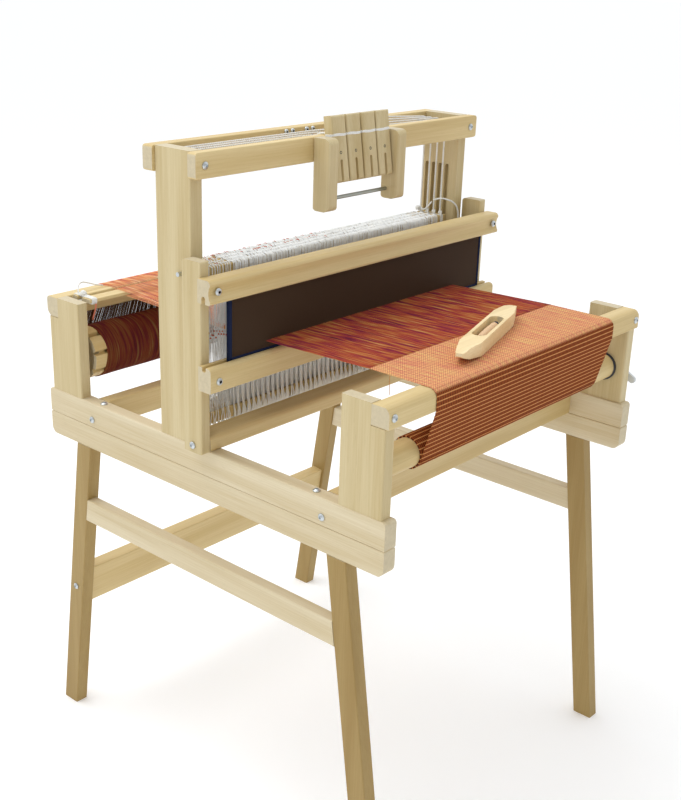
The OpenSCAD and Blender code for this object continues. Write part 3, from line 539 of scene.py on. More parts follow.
# The solids of the frame that each material dresses
DRESSED = {
    "wood_x": ["rear_stretcher", "front_cross_rail", "rear_cross_rail", "beater_pivot_board", "breast_beam",
               "back_beam", "castle_front_rail", "castle_rear_rail", "lease_sticks", "beater_cap",
               "beater_race", "cloth_roller", "warp_drum", "shuttle", *each("shaft")],
    "wood_y": both("stand_rail", "side_stretcher", "side_rail"),
    "wood_z": [*both("front_post", "rear_post", "castle_upright", "lever_cheek", "beater_sword"),
               *each("lever")],
    # The legs, in birch painted darker as shade
    "wood_legs_painted_shade": both("leg_front", "leg_rear"),
    "zinc": ["frame_bolts"],
    "steel_rod": ["castle_rods"],
    "grey_iron": ["cloth_ratchet", "warp_ratchet", "cloth_pawl", "warp_pawl"],
    "cord": ["cord_runs", "lease_ties", "bobbin", *each("lift_cords")],
    "warp": ["warp", "cloth", "wound_cloth"],
    "warp_wound": ["wound_warp"],
    "reed": ["reed"],
}


def dress_nodes(made):
    for material, names in DRESSED.items():
        for name in names:
            data = NODES[name].data
            data.materials.clear()
            data.materials.append(made[material])


# Shafts: two bars, and string heddles with an eye between their two looped halves
BAR_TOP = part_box("shaft_1")[1].z - 1.3 * MM
BAR_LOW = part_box("shaft_1")[0].z + 1.3 * MM
BAR_H = 20 * MM
BAR_HALF_T = 4 * MM
# Strings beside each threaded one, set between the threads of the other shafts
BETWEEN_THREADS = (3 * MM, 5 * MM, 7 * MM)
GROUP_W = 13 * MM
RED_TURNS = {1: 3, 2: 3, 3: 34, 4: 34}
RED_TURN = ((-1.6, 2.4, -0.8), (0, 0.8, 0.4), (1.2, -1, 0.5), (2.2, -2.8, -0.6))
# Half a string from the eye on: places across, in depth and in height, and radius, in mm
HEDDLE_EYE = [(0.9, 0.1, 0.0, 0.45), (0.5, 0.5, 4.0, 0.45)]
HEDDLE_RUN = [(0.0, 0.6, 6.5, 0.85), (0.0, 0.7, 11.0, 0.45), (0.0, 1.2, 40.0, 0.45), (0.0, 2.2, 68.0, 0.42)]


def gather(x, down, reach):
    """How far a lower half leans to the middle of its group, in mm, at a way down from the eye in mm."""
    pull = ((math.floor(x / GROUP_W) + 0.5) * GROUP_W - x) / MM * 0.62
    share = min(1.0, max(0.0, down - 60) / (reach - 78))
    return pull * share * (1 if down < reach - 10 else 0.25)


def half_string(x, side, up, chance, spread, eye):
    """Half a string as rows of places and radius in mm; the lower halves hang together in groups."""
    reach = (BAR_TOP - EYE_Z if up else EYE_Z - BAR_LOW) / MM
    lean, bulge = chance.uniform(-0.9, 0.9) * spread, chance.uniform(0.4, 2.8)
    sag = chance.uniform(0.4, 2.6) if up else chance.uniform(1.5, 7.0)
    rows = [(dx * side * eye, dy, dz, r) for dx, dy, dz, r in HEDDLE_EYE] + HEDDLE_RUN
    rows += [(lean * 0.5, 3.6, reach - 34, 0.7),
             (lean, 5.0 + bulge * 0.5, reach - 18, 0.95),
             (lean, 5.3 + bulge, reach - 8, 1.2),
             (lean * 0.8, 5.1 + bulge * 0.6, reach - 0.5 + sag * 0.4, 1.3),
             (lean * 0.6, 3.2, reach + 0.6 + sag, 1.3)]
    if up:
        return [(dx, dy * side, dz, r) for dx, dy, dz, r in rows]
    return [(dx + gather(x, dz, reach), dy * side, -dz, r) for dx, dy, dz, r in rows]


def heddle(mesh, x, y, chance, spread=1.0, eye=1.0):
    """One string: round the upper bar, through the eye's knots, round the lower bar and back."""
    high = half_string(x, -1, True, chance, spread, eye)
    low = half_string(x, -1, False, chance, spread, eye)[::-1]
    loop = high + [(0, 0, high[-1][2] + 0.9, 1.3)] + half_string(x, 1, True, chance, spread, eye)[::-1]
    loop += half_string(x, 1, False, chance, spread, eye)[1:] + [(0, 0, low[0][2] - 0.5, 1.2)] + low
    path = [Vector((x + dx * MM, y + dy * MM, EYE_Z + dz * MM)) for dx, dy, dz, r in loop]
    mesh.tube(path, [r * MM for dx, dy, dz, r in loop], sides=4)


def knot(mesh, centre, size, chance):
    """A small tied knot: three crossed turns."""
    for turn in range(3):
        lean = Matrix.Rotation(turn * 1.05 + chance.uniform(-0.2, 0.2), 3, "X")
        ring = [Vector((size * math.cos(a) * 0.8, size * math.sin(a), size * 0.35 * math.sin(2 * a)))
                for a in circle(10)]
        mesh.tube(closed([centre + lean @ p for p in ring]), size * 0.42, sides=5)


def red_turn(mesh, y, chance):
    """A short turn of red yarn over the upper bar, somewhere on its left half."""
    x = CLOTH_LOW.x - 45 * MM + chance.uniform(0, 330) * MM
    top = BAR_TOP + chance.uniform(2.6, 4.4) * MM
    turn = [Vector((x + dx * MM, y + dy * MM, top + dz * MM)) for dx, dy, dz in RED_TURN]
    mesh.tube(turn, 0.55 * MM, sides=5)


def add_shafts(made):
    for k in SHAFTS:
        chance = random.Random(40 + k)
        y = shaft_y(k)
        low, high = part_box(f"shaft_{k}")
        bars, strings, ties = Mesh(), Mesh(), Mesh()
        for bottom in (BAR_TOP - BAR_H, BAR_LOW):
            bars.block((low.x, y - BAR_HALF_T, bottom), (high.x, y + BAR_HALF_T, bottom + BAR_H))
        for i in range(k - 1, THREADS, len(SHAFTS)):
            heddle(strings, thread_x(i), y, chance)
            for step in BETWEEN_THREADS:
                heddle(strings, thread_x(i) + step, y, chance, eye=0.0)
        left_spares = [CLOTH_LOW.x - 7 * MM - i * 6.4 * MM for i in range(10)]
        right_spares = [CLOTH_HIGH.x + 8 * MM + i * 4.6 * MM for i in range(8)]
        for x in left_spares + right_spares:
            heddle(strings, x, y, chance, spread=1.6)
        for x in left_spares:
            knot(ties, Vector((x, y - 1.5 * MM, EYE_Z + chance.uniform(-3, 3) * MM)), 1.3 * MM, chance)
        for turn in range(RED_TURNS[k]):
            red_turn(ties, y, chance)
        tied = ties.make(f"heddle_ties_{k}", made["red_string"])
        string = strings.make(f"heddles_{k}", made["string"])
        bar = bars.make(f"shaft_bars_{k}", made["wood_x"], smooth=False, bevel=1.2 * MM)
        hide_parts(f"shaft_{k}")
        for piece in (tied, string, bar):
            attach(piece, f"shaft_{k}")


# Warp: each thread runs from the cloth through its heddle and the lease, over the back beam to the drum
STICKS = [p.co for p in NODES["lease_sticks"].data.vertices]
STICKS_SPLIT_Y = 362.5 * MM
BACK_EDGE_R = 8 * MM
DRUM_SPREAD = 55 * MM
DRUM_REACH = 54.1 * MM
DRUM_THREAD_R = 0.95 * MM


def stick_box(near):
    """Section of the near or the far lease stick: its least and greatest Y, then its Z."""
    mine = [p for p in STICKS if (p.y < STICKS_SPLIT_Y) == near]
    return (min(p.y for p in mine), max(p.y for p in mine), min(p.z for p in mine), max(p.z for p in mine))


def drum_x(x):
    """The warp spreads to the left where it is wound on the drum."""
    return x - DRUM_SPREAD * ((CLOTH_HIGH.x - x) / CLOTH_W) ** 2


def back_path(k, over):
    """A thread's way from its eye to the drum, over the near lease stick or under it."""
    near, far = stick_box(True), stick_box(False)
    clear = THREAD_R + GAP
    z_near = near[3] + clear if over else near[2] - clear
    z_far = far[2] - clear if over else far[3] + clear
    bend = Vector((0, BACK_HIGH.y - BACK_EDGE_R, BACK_HIGH.z - BACK_EDGE_R))
    points = vectors([(0, shaft_y(k), EYE_Z),
                      (0, near[0] - 6 * MM, z_near),
                      (0, near[1] + 1 * MM, z_near),
                      (0, far[0] - 1 * MM, z_far),
                      (0, far[1] - 1 * MM, z_far)])
    points += arc(bend, BACK_EDGE_R + clear, 90, 0, 7)
    return points + [Vector((0, DRUM_AXIS.y + DRUM_REACH, DRUM_AXIS.z))]


def add_warp(made):
    fell = Vector((0, CLOTH_HIGH.y - 3 * MM, WEB_Z))
    step = 18 * MM
    for k in SHAFTS:
        chance = random.Random(80 + k)
        front, back = Mesh(), Mesh()
        eye = Vector((0, shaft_y(k), EYE_Z))
        for i in range(k - 1, THREADS, len(SHAFTS)):
            x = thread_x(i) + chance.uniform(-0.25, 0.25) * MM
            front.tube(at_x(finer([fell, eye], step), x), THREAD_R, sides=4)
            path = back_path(k, over=i % 2 == 0)
            whole = at_x(finer(path[:2], step) + path[2:], x)
            whole[-1].x = drum_x(x)
            back.tube(whole, [THREAD_R] * (len(whole) - 2) + [DRUM_THREAD_R] * 2, sides=4)
        front_piece = front.make(f"warp_front_{k}", made["warp"])
        back_piece = back.make(f"warp_back_{k}", made["warp_back"])
        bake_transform(front_piece)
        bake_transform(back_piece)
        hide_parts("warp")


def add_wound_warp(made):
    low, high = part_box("wound_warp")
    outer = (high.z - low.z) / 2
    inner = outer - 3.4 * MM
    left = drum_x(CLOTH_LOW.x)
    profile = [(left, inner)]
    for x in (drum_x(thread_x(i)) for i in range(THREADS)):
        profile += [(x - 0.98 * MM, outer - 0.9 * MM), (x - 0.45 * MM, outer - 0.15 * MM),
                    (x + 0.45 * MM, outer - 0.15 * MM)]
    profile += [(CLOTH_HIGH.x - 0.02 * MM, outer - 0.9 * MM), (CLOTH_HIGH.x, inner), (left, inner)]

    def uneven(x, radius, a):
        return (1.6 * MM * math.sin(a * 2 + x * 31) + 0.8 * MM * math.sin(a * 5 + x * 97),
                0.25 * MM * math.sin(a * 3 + x * 55) - 0.25 * MM)

    wound = Mesh()
    wound.lathe(DRUM_AXIS, profile, 72, uneven)
    piece = wound.make("wound_warp_threads", made["warp_wound"])
    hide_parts("wound_warp")
    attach(piece, "warp_beam")


# Cloth: woven from the fell over the breast beam down to the roller, and wound on it
CLOTH_T = 1.2 * MM
COLUMNS = 138
ROLL_R = 28.15 * MM
ROLL_RIDGES = 20
ROLL_STARTS = 57 * ROW


def cloth_path():
    fell = Vector((0, CLOTH_HIGH.y, WEB_Z))
    bend = Vector((0, BREAST_LOW.y + 14 * MM, BREAST_HIGH.z - 14 * MM))
    edge = Vector((0, BREAST_LOW.y - 1 * MM, BREAST_LOW.z + 2 * MM))
    roll = Vector((0, ROLLER_AXIS.y, ROLLER_AXIS.z))
    away = edge - roll
    angle = math.atan2(away.z, away.y) + math.acos(ROLL_R / away.length)
    landing = roll + ROLL_R * Vector((0, math.cos(angle), math.sin(angle)))
    return finer([fell] + arc(bend, 15 * MM, 90, 180, 18) + [edge, landing], 1.1 * MM)


def ridge(v):
    """Height of the cloth at a way v along it: fine rows on top, strong ridges where it hangs down."""
    fine = 0.16 * MM * abs(math.sin(math.pi * v / ROW))
    strong = 0.4 * MM * abs(math.sin(math.pi * v / ROW)) ** 0.8
    share = min(1.0, max(0.0, (v - RIDGES_FROM) / RIDGES_RISE))
    return fine * (1 - share) + strong * share


def cloth_points(path):
    """Points of the cloth's upper side and then of its lower side, and each one's place on the cloth."""
    points, ways = [], []
    for side in (1, -1):
        for point, heading, v in zip(path, headings(path), ways_along(path)):
            out = Vector((0, heading.z, -heading.y)) * side
            lift = CLOTH_T / 2 - 0.45 * MM + (ridge(v) if side == 1 else 0)
            for c in range(COLUMNS + 1):
                u = CLOTH_LOW.x + CLOTH_W * c / COLUMNS
                edge = c in (0, COLUMNS)
                ruffle = 0.5 * MM * math.sin(v * 900 + c) if edge else 0
                points.append(Vector((u + ruffle, point.y, point.z)) + out * (lift * (0.35 if edge else 1)))
                ways.append((u, v))
    return points, ways


def sheet_faces(rows, columns):
    """Both sides of a sheet of so many rows and columns of faces, and the walls round its edge."""
    row, size = columns + 1, (rows + 1) * (columns + 1)

    def wall(a, b):
        return (a, b, size + b, size + a)

    upper = [(p, p + 1, p + row + 1, p + row) for i in range(rows) for p in range(i * row, i * row + columns)]
    faces = upper + [tuple(size + p for p in reversed(face)) for face in upper]
    for here in range(0, rows * row, row):
        faces += [wall(here, here + row), wall(here + row + columns, here + columns)]
    for c in range(columns):
        end = rows * row + c
        faces += [wall(c + 1, c), wall(end, end + 1)]
    return faces


def add_cloth(made):
    path = cloth_path()
    points, ways = cloth_points(path)
    sheet = Mesh()
    sheet.add(points, sheet_faces(len(path) - 1, COLUMNS))
    piece = sheet.make("woven_cloth", made["cloth"], ways=ways)
    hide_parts("cloth")
    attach(piece, "frame")


def add_cloth_roll(made):
    turns = 208
    inner, outer = 25.2 * MM, ROLL_R - 0.3 * MM
    profile = [(CLOTH_LOW.x, inner), (CLOTH_LOW.x, outer), (CLOTH_HIGH.x, outer), (CLOTH_HIGH.x, inner)]

    def ridged(x, radius, a):
        return 0, 0.45 * MM * abs(math.sin(a * ROLL_RIDGES / 2)) ** 0.8 if radius > inner else 0

    wound = Mesh()
    wound.lathe(ROLLER_AXIS, profile, turns, ridged)
    # The roll's ways begin far past RIDGES_FROM, so it is painted in the same shade as the hanging cloth
    ways = [(x, ROLL_STARTS + a / math.pi * ROLL_RIDGES / 2 * ROW) for x, radius in profile
            for a in circle(turns)]
    roll = wound.make("wound_cloth_roll", made["cloth"], ways=ways)
    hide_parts("wound_cloth")
    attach(roll, "cloth_beam")


# Cords: from the shafts over the guide rods at the castle's ends and along the castle to the levers
CASTLE_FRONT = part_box("castle_front_rail")[0].y
CASTLE_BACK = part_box("castle_front_rail")[1].y
CASTLE_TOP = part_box("castle_front_rail")[1].z
SOLID_CORD_R = 1.25 * MM
DROP_R = 1.9 * MM
RUN_R = 1.8 * MM
WRAP_R = 1.2 * MM
ROPE_STEP = 1.6 * MM
ROPE_PITCH = 9 * MM
GUIDE_R = 6.5 * MM
GUIDE_Z = CASTLE_TOP - 16 * MM
DROP_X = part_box("lift_cords_1")[1].x - SOLID_CORD_R
TURN_R = GUIDE_R + GAP + SOLID_CORD_R
GUIDE_X = DROP_X - TURN_R
RUN_Z = GUIDE_Z + TURN_R
OVER_Z = CASTLE_TOP + GAP + SOLID_CORD_R
# Ends of cord that lie loose at the right: X, Y and height over the bar in mm
LOOSE_CORDS = {
    4: [(330, 85, 9), (335, 79, 6), (338, 72, 7), (334, 62, 15), (331, 50, 27)],
    1: [(331, 46, 31), (333, 32, 37), (340, 18, 36), (349, 9, 31), (357, 4.5, 22), (363, 3.5, 9),
        (365, 4, -10)],
}
LEVER_LEAN = math.radians(8.5)
LEVER_UP = Vector((0, math.sin(LEVER_LEAN), math.cos(LEVER_LEAN)))
LEVER_BACK = Vector((0, math.cos(LEVER_LEAN), -math.sin(LEVER_LEAN)))
NECK_UP = 70 * MM
SCREW_UP = 39 * MM
SCREW_OUT = 8.05 * MM


def rope(mesh, path, radius):
    """Two plies laid round each other along a path."""
    path = finer(path, ROPE_STEP)
    for ply in (0, math.pi):
        strand = []
        for point, way, (a, b) in zip(path, ways_along(path), crossings(path)):
            t = 2 * math.pi * way / ROPE_PITCH + ply
            strand.append(point + radius * 0.45 * (math.cos(t) * a + math.sin(t) * b))
        mesh.tube(strand, radius * 0.6, sides=6)


def cord_route(k, side):
    """A cord's way from its drop over the guide and along the castle to its lever."""
    x, y = lever_pivot(k).x, shaft_y(k)
    route = [(side * DROP_X, y, GUIDE_Z)]
    for a in (math.radians(degrees) for degrees in range(15, 91, 15)):
        route.append((side * (GUIDE_X + TURN_R * math.cos(a)), y, GUIDE_Z + TURN_R * math.sin(a)))
    if side < 0:
        route += [(x - 75 * MM, y, RUN_Z),
                  (x - 44 * MM, y - 8 * MM, RUN_Z + 1 * MM),
                  (x - 30 * MM, (y + CASTLE_BACK) / 2, RUN_Z + 1.5 * MM),
                  (x - 16 * MM, CASTLE_BACK + 7 * MM, RUN_Z + 4 * MM),
                  (x - 9 * MM, CASTLE_BACK - 1 * MM, OVER_Z + 0.3 * MM)]
    else:
        z = RUN_Z + 3 * MM + 2.7 * MM * k
        over = OVER_Z + 0.5 * MM
        route += [(x + 75 * MM, y, z),
                  (x + 58 * MM, y - 2 * MM, z + 1 * MM),
                  (x + 44 * MM, y - 6 * MM, max(over, z + 1 * MM)),
                  (x + 30 * MM, (y + CASTLE_BACK) / 2, max(over, z)),
                  (x + 14 * MM, CASTLE_BACK + 3 * MM, OVER_Z + 1 * MM)]
    route += [(x + side * 4 * MM, CASTLE_FRONT + 8 * MM, OVER_Z + 0.3 * MM),
              (x + side * 2.4 * MM, CASTLE_FRONT + 1 * MM, OVER_Z + 0.2 * MM)]
    return rounded(rounded(vectors(route)))


def bar_hitch(mesh, x, y, chance):
    """Three turns of the cord round the end of the upper bar, and its knot."""
    foot = -BAR_H - 1 * MM
    section = [(-5.4 * MM, foot), (-5.6 * MM, -10 * MM), (-5.2 * MM, 0.6 * MM), (0, 1.9 * MM),
               (5.2 * MM, 0.6 * MM), (5.6 * MM, -10 * MM), (5.4 * MM, foot), (0, -BAR_H - 1.6 * MM)]
    for turn in (-1, 0, 1):
        ring = [Vector((x + turn * 2.7 * MM, y + dy, BAR_TOP + dz)) for dy, dz in section]
        mesh.tube(closed(ring), WRAP_R, sides=6)
    knot(mesh, Vector((x, y - 1 * MM, BAR_TOP + 6 * MM)), 3.4 * MM, chance)


def add_lifting_cords(made, k):
    chance = random.Random(120 + k)
    y = shaft_y(k)
    drops, hitches = Mesh(), Mesh()
    for side in LEFT_RIGHT:
        x = side * DROP_X
        rope(drops, vectors([(x, y, GUIDE_Z), (x, y, BAR_TOP + 3 * MM)]), DROP_R)
        bar_hitch(hitches, x, y, chance)
        tail = [(x, y - 2 * MM, BAR_TOP + 7 * MM),
                (x - side * 3 * MM, y - 6 * MM, BAR_TOP + 10 * MM),
                (x - side * 6 * MM, y - 7 * MM, BAR_TOP + 4 * MM),
                (x - side * 7 * MM, y - 7.4 * MM, BAR_TOP - 9 * MM)]
        hitches.tube(tail, WRAP_R, sides=6)
    if k in LOOSE_CORDS:
        loose = [Vector((px * MM, py * MM, BAR_TOP + pz * MM)) for px, py, pz in LOOSE_CORDS[k]]
        rope(hitches, rounded(loose), DROP_R)
    if k == 4:
        knot(hitches, Vector((330 * MM, y, BAR_TOP + 9.5 * MM)), 4.4 * MM, chance)
    drop = drops.make(f"lifting_cords_{k}", made["cord"])
    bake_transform(drop)
    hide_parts(f"lift_cords_{k}")
    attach(hitches.make(f"cord_hitches_{k}", made["cord"]), f"shaft_{k}")


def add_lever_cords(made, k):
    """Two short cords from the castle's front rail to the lever's neck, and their collar round it."""
    x = lever_pivot(k).x
    neck = lever_pivot(k) + NECK_UP * LEVER_UP
    start_y, end_y = CASTLE_FRONT + 1 * MM, neck.y + 9.6 * MM
    ends, collar = Mesh(), Mesh()
    for side in LEFT_RIGHT:
        path = [(x + side * 2.4 * MM, start_y, OVER_Z + 0.2 * MM),
                (x + side * 1.6 * MM, end_y, neck.z + 1 * MM)]
        ends.tube(finer(vectors(path), 0.08 * MM), WRAP_R, sides=6)
    tied = ends.make(f"lever_cords_{k}", made["cord"])
    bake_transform(tied)
    for turn in LEFT_RIGHT:
        ring = []
        for a in circle(32):
            corner = (abs(math.cos(a)) ** 7 + abs(math.sin(a)) ** 7) ** (-1 / 7)
            across = Vector((18.2 * MM * math.cos(a) * corner, 0, 0.5 * MM * math.sin(a * 3 + k)))
            depth = 9.7 * MM * math.sin(a) * corner
            ring.append(neck + across + depth * LEVER_BACK + turn * 1.15 * MM * LEVER_UP)
        collar.tube(closed(ring), 1.35 * MM, sides=6)
    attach(collar.make(f"lever_collar_{k}", made["cord"]), f"lever_{k}")


def add_cords(made):
    runs = Mesh()
    for k in SHAFTS:
        add_lifting_cords(made, k)
        add_lever_cords(made, k)
        for side in LEFT_RIGHT:
            rope(runs, cord_route(k, side), RUN_R)
    piece = runs.make("cord_run_ropes", made["cord"])
    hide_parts("cord_runs")
    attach(piece, "frame")


# Reed: steel dents between two taped bands
DENT_W, DENT_HALF_D = 0.45 * MM, 3.2 * MM
DENT_MARGIN = 8 * MM
BAND_H = 12 * MM
END_W = 6 * MM


def add_reed(made):
    low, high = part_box("reed")
    mid_y = (low.y + high.y) / 2
    dents, bands, tapes = Mesh(), Mesh(), Mesh()
    x = low.x + END_W + 1 * MM
    while x < high.x - END_W - 0.5 * MM:
        dents.block((x, mid_y - DENT_HALF_D, low.z + DENT_MARGIN),
                    (x + DENT_W, mid_y + DENT_HALF_D, high.z - DENT_MARGIN))
        x += THREAD_PITCH
    for bottom in (low.z, high.z - BAND_H):
        bands.block((low.x + 1 * MM, low.y, bottom), (high.x - 1 * MM, high.y, bottom + BAND_H))
    for left in (low.x, high.x - END_W):
        tapes.block((left, low.y, low.z + 0.5 * MM), (left + END_W, high.y, high.z - 0.5 * MM))
    teeth = dents.make("reed_dents", made["reed"], smooth=False)
    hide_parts("reed")
    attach(teeth, "beater")
    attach(bands.make("reed_bands", made["navy"], bevel=1 * MM), "beater")
    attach(tapes.make("reed_ends", made["navy"], bevel=1 * MM), "beater")


# Ties of the lease sticks, and the cord from the left one over the back beam
TIE_R = 1.6 * MM
TIE_CLEAR = 1.5 * MM
TIE_OVER = [(-0.3445, 0.374, 0.923), (-0.334, 0.388, 0.932), (-0.318, 0.398, 0.934), (-0.3, 0.402, 0.928),
            (-0.282, 0.401, 0.921), (-0.2665, 0.399, 0.9172)]


def add_lease_ties(made):
    """Four turns round both sticks at either end, with a knot between the sticks."""
    near, far = stick_box(True), stick_box(False)
    low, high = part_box("lease_ties")
    section = [(near[0] - TIE_CLEAR, near[2]), (near[0] - TIE_CLEAR, near[3]), (near[0], near[3] + TIE_CLEAR),
               (far[1], near[3] + TIE_CLEAR), (far[1] + TIE_CLEAR, far[3]), (far[1] + TIE_CLEAR, far[2]),
               (far[1], near[2] - TIE_CLEAR), (near[0], near[2] - TIE_CLEAR)]
    ties = Mesh()
    chance = random.Random(5)
    for x in (low.x + TIE_CLEAR, high.x - TIE_CLEAR):
        for turn in (-1.5, -0.5, 0.5, 1.5):
            ring = [Vector((x + turn * 2.9 * MM, y, z)) for y, z in section]
            rope(ties, closed(ring), TIE_R)
        knot(ties, Vector((x, (near[1] + far[0]) / 2, near[3] + 4 * MM)), 5.4 * MM, chance)
    rope(ties, rounded(vectors(TIE_OVER)), TIE_R)
    piece = ties.make("lease_tie_cords", made["cord"])
    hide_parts("lease_ties")
    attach(piece, "frame")


# Bobbin: yarn wound on a flanged core
BOBBIN_HALF = 50 * MM
BOBBIN_CORE = [(-1, 0, 2.3), (-1, 0, 6.4), (-1, 3, 6.6), (-1, 4, 4.7), (1, 4, 4.7), (1, 3, 6.6), (1, 0, 6.4),
               (1, 0, 2.3), (-1, 0, 2.3)]


def add_bobbin(made):
    centre = middle("bobbin")
    axis = Vector(JOINTS["bobbin_spin"]["axis"])
    side = Z.cross(axis)

    def at(along, radius, a):
        return centre + axis * along + radius * (math.cos(a) * side + math.sin(a) * Z)

    turns, steps = 58, 12
    path = []
    for i in range(turns * steps + 1):
        s = i / (turns * steps)
        swell = 6.2 * MM + 1.1 * MM * math.sin(math.pi * s) ** 0.6
        path.append(at((s * 2 - 1) * (BOBBIN_HALF - 7 * MM), swell, 2 * math.pi * i / steps))
    winding, core = Mesh(), Mesh()
    winding.tube(path, 0.85 * MM, sides=5)
    around = 24
    core.add([at(end * (BOBBIN_HALF - inset * MM), radius * MM, a) for end, inset, radius in BOBBIN_CORE
              for a in circle(around)], ring_faces(len(BOBBIN_CORE), around))
    yarn = winding.make("bobbin_yarn", made["cream_yarn"])
    tube = core.make("bobbin_core", made["navy"])
    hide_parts("bobbin")
    for piece in (yarn, tube):
        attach(piece, "bobbin")


def add_shuttle(made):
    """The hull with its edges rounded."""
    data = NODES["shuttle"].data.copy()
    data.materials.clear()
    data.materials.append(made["shuttle_wood"])
    piece = place_piece("shuttle_hull", data, bevel=1.6 * MM, segments=3)
    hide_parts("shuttle")
    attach(piece, "shuttle")


# Bolts and screws: shares of radius and height from the rim of the dome to its hexagonal recess
DOME = [(1, 0), (1, 0.25), (0.93, 0.55), (0.75, 0.85), (0.5, 1), (0.42, 0.98)]
RECESS_SHARE, RECESS_TOP, RECESS_FLOOR = 0.42, 0.98, 0.35
DOME_SIDES = 24
FORWARD = Vector((0, -1, 0))
# Places of the beater's bolts beside the middle and in height, and of the castle's eyelets
CAP_BOLT_X, CAP_BOLT_Z = 392 * MM, 1022.5 * MM
RACE_BOLT_X, RACE_BOLT_Z = 390.5 * MM, 867 * MM
EYELET_XS = (-66 * MM, -49 * MM, -11 * MM, 6 * MM)
EYELET_Y, EYELET_Z = 96.7 * MM, 1232 * MM


def facing_circle(centre, out, radius, count):
    """Points of a circle that faces the direction out."""
    a = out.orthogonal().normalized()
    b = out.cross(a)
    return [centre + radius * (math.cos(t) * a + math.sin(t) * b) for t in circle(count)]


def domed_bolts(made, body, names, metals, places, out, radius, height):
    """Domed heads that face out, and their recesses, as two pieces on one body."""
    heads, recesses = Mesh(), Mesh()
    for place in places:
        dome = [p for share, level in DOME
                for p in facing_circle(place + out * height * level, out, radius * share, DOME_SIDES)]
        heads.add(dome, ring_faces(len(DOME), DOME_SIDES))
        # The hexagonal recess is painted dark: painted shade
        hole = [p for level in (RECESS_TOP, RECESS_FLOOR)
                for p in facing_circle(place + out * height * level, out, radius * RECESS_SHARE, 6)]
        recesses.add(hole, ring_faces(2, 6) + [tuple(range(6, 12))])
    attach(heads.make(names[0], made[metals[0]]), body)
    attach(recesses.make(names[1], made[metals[1]], smooth=False), body)


def add_fittings(made):
    cap_y, race_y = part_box("beater_cap")[0].y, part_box("beater_race")[0].y
    bolts = []
    for side in LEFT_RIGHT:
        bolts += vectors([(side * CAP_BOLT_X, cap_y, CAP_BOLT_Z), (side * RACE_BOLT_X, race_y, RACE_BOLT_Z)])
    domed_bolts(made, "beater", ("beater_bolts", "beater_bolt_recesses"), ("zinc", "recess_painted_shade"), bolts,
                FORWARD, 6.5 * MM, 4 * MM)
    eyelets = [Vector((x, EYELET_Y, EYELET_Z)) for x in EYELET_XS]
    domed_bolts(made, "frame", ("rail_eyelets", "rail_eyelet_holes"), ("zinc", "recess_painted_shade"), eyelets,
                FORWARD, 5 * MM, 3.5 * MM)
    for k in SHAFTS:
        screw = lever_pivot(k) + SCREW_UP * LEVER_UP - SCREW_OUT * LEVER_BACK
        domed_bolts(made, f"lever_{k}", (f"lever_screw_{k}", f"lever_screw_recess_{k}"),
                    ("dark_screw", "recess_painted_shade"), [screw], -LEVER_BACK, 4.2 * MM, 2.2 * MM)


def add_roller_collar(made):
    """The dark ring on the roller's right end, beside the post."""
    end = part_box("front_post_right")[0].x - 1.2 * MM
    section = [(4, 25.1), (4, 27.6), (3.4, 28.2), (0.8, 28.2), (0.2, 27.6), (0.2, 25.1)]
    ring = Mesh()
    ring.lathe(ROLLER_AXIS, closed([(end - inset * MM, radius * MM) for inset, radius in section]), 64)
    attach(ring.make("roller_collar", made["black_ring"]), "cloth_beam")


# Free ends of yarn: from the left tie of the lease sticks and from the left selvedge
TIE_STRAND = [(-0.3405, 0.3262, 0.9095), (-0.3408, 0.3256, 0.906), (-0.341, 0.327, 0.9),
              (-0.3412, 0.330, 0.892), (-0.3412, 0.334, 0.884), (-0.341, 0.337, 0.876)]
WEFT_TAIL = [(CLOTH_LOW.x - 0.8 * MM, -0.331, WEB_Z - 0.3 * MM),
             (CLOTH_LOW.x - 1.4 * MM, -0.3312, WEB_Z - 3 * MM),
             (CLOTH_LOW.x - 1.8 * MM, -0.3316, WEB_Z - 12 * MM),
             (CLOTH_LOW.x - 1.5 * MM, -0.332, WEB_Z - 22 * MM),
             (CLOTH_LOW.x - 0.9 * MM, -0.3326, WEB_Z - 33 * MM)]


def add_hanging_yarn(name, points, diameter, sides, material):
    path = vectors(points)
    yarn = Mesh()
    yarn.tube(path, diameter / 2, sides=sides)
    piece = yarn.make(name, material)
    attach(piece, "frame")


# Light: name, place, power in watts and size in metres of each lamp
LAMPS = [("key", (-1.0, 1.3, 4.0), 62, 2.8), ("fill", (-3.4, -1.6, 2.0), 12, 2.6)]
LIT_POINT = Vector((0, 0, 0.8))
# The world is brightest from this side, and its strength falls off away from it
BRIGHT_SIDE = (0.6, 0.72, 0.15)
WORLD_STRENGTH = {"From Min": -0.7, "From Max": 0.4, "To Min": 0.52, "To Max": 1.15}
FLOOR_HALF = 45


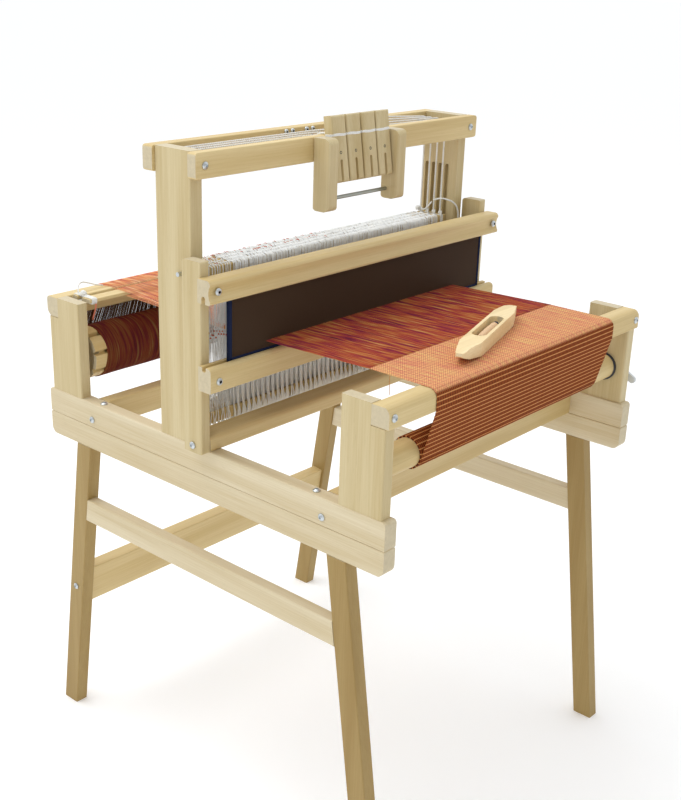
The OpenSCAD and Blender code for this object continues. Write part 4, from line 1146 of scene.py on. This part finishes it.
def add_world():
    scene = bpy.context.scene
    scene.view_settings.view_transform = "Standard"
    world = bpy.data.worlds.new("studio")
    scene.world = world
    world.use_nodes = True
    tree = world.node_tree
    background = tree.nodes["Background"]
    background.inputs["Color"].default_value = (0.97, 0.985, 1.0, 1)
    way = tree.nodes.new("ShaderNodeTexCoord")
    facing = tree.nodes.new("ShaderNodeVectorMath")
    facing.operation = "DOT_PRODUCT"
    facing.inputs[1].default_value = BRIGHT_SIDE
    level = tree.nodes.new("ShaderNodeMapRange")
    for name, value in WORLD_STRENGTH.items():
        level.inputs[name].default_value = value
    tree.links.new(way.outputs["Generated"], facing.inputs[0])
    tree.links.new(facing.outputs["Value"], level.inputs["Value"])
    tree.links.new(level.outputs[0], background.inputs["Strength"])


def add_lamps():
    for name, place, power, size in LAMPS:
        data = bpy.data.lights.new(name, "AREA")
        data.energy = power
        data.size = size
        lamp = bpy.data.objects.new(name, data)
        bpy.context.scene.collection.objects.link(lamp)
        lamp.location = place
        lamp.rotation_euler = (LIT_POINT - Vector(place)).to_track_quat("-Z", "Y").to_euler()


def add_floor():
    floor = Mesh()
    half = FLOOR_HALF
    floor.add([(-half, -half, 0), (half, -half, 0), (half, half, 0), (-half, half, 0)], [(0, 1, 2, 3)])
    paint = Paint("floor")
    paint.set(Base_Color=(0.95, 0.95, 0.95), Roughness=1.0, Emission_Color=(1, 1, 1, 1),
              Emission_Strength=0.12)
    floor.make("floor", paint.material, smooth=False)


add_camera()
add_world()
add_lamps()
add_floor()
materials = main_materials()
dress_nodes(materials)
add_shafts(materials)
add_warp(materials)
add_wound_warp(materials)
add_cloth(materials)
add_cloth_roll(materials)
add_cords(materials)
add_reed(materials)
add_lease_ties(materials)
add_bobbin(materials)
add_shuttle(materials)
add_fittings(materials)
add_hanging_yarn("weft_tail", WEFT_TAIL, 1.0 * MM, 6, materials["gold_yarn"])
add_roller_collar(materials)
add_hanging_yarn("tie_strand", TIE_STRAND, 3.0 * MM, 8, materials["red_string"])
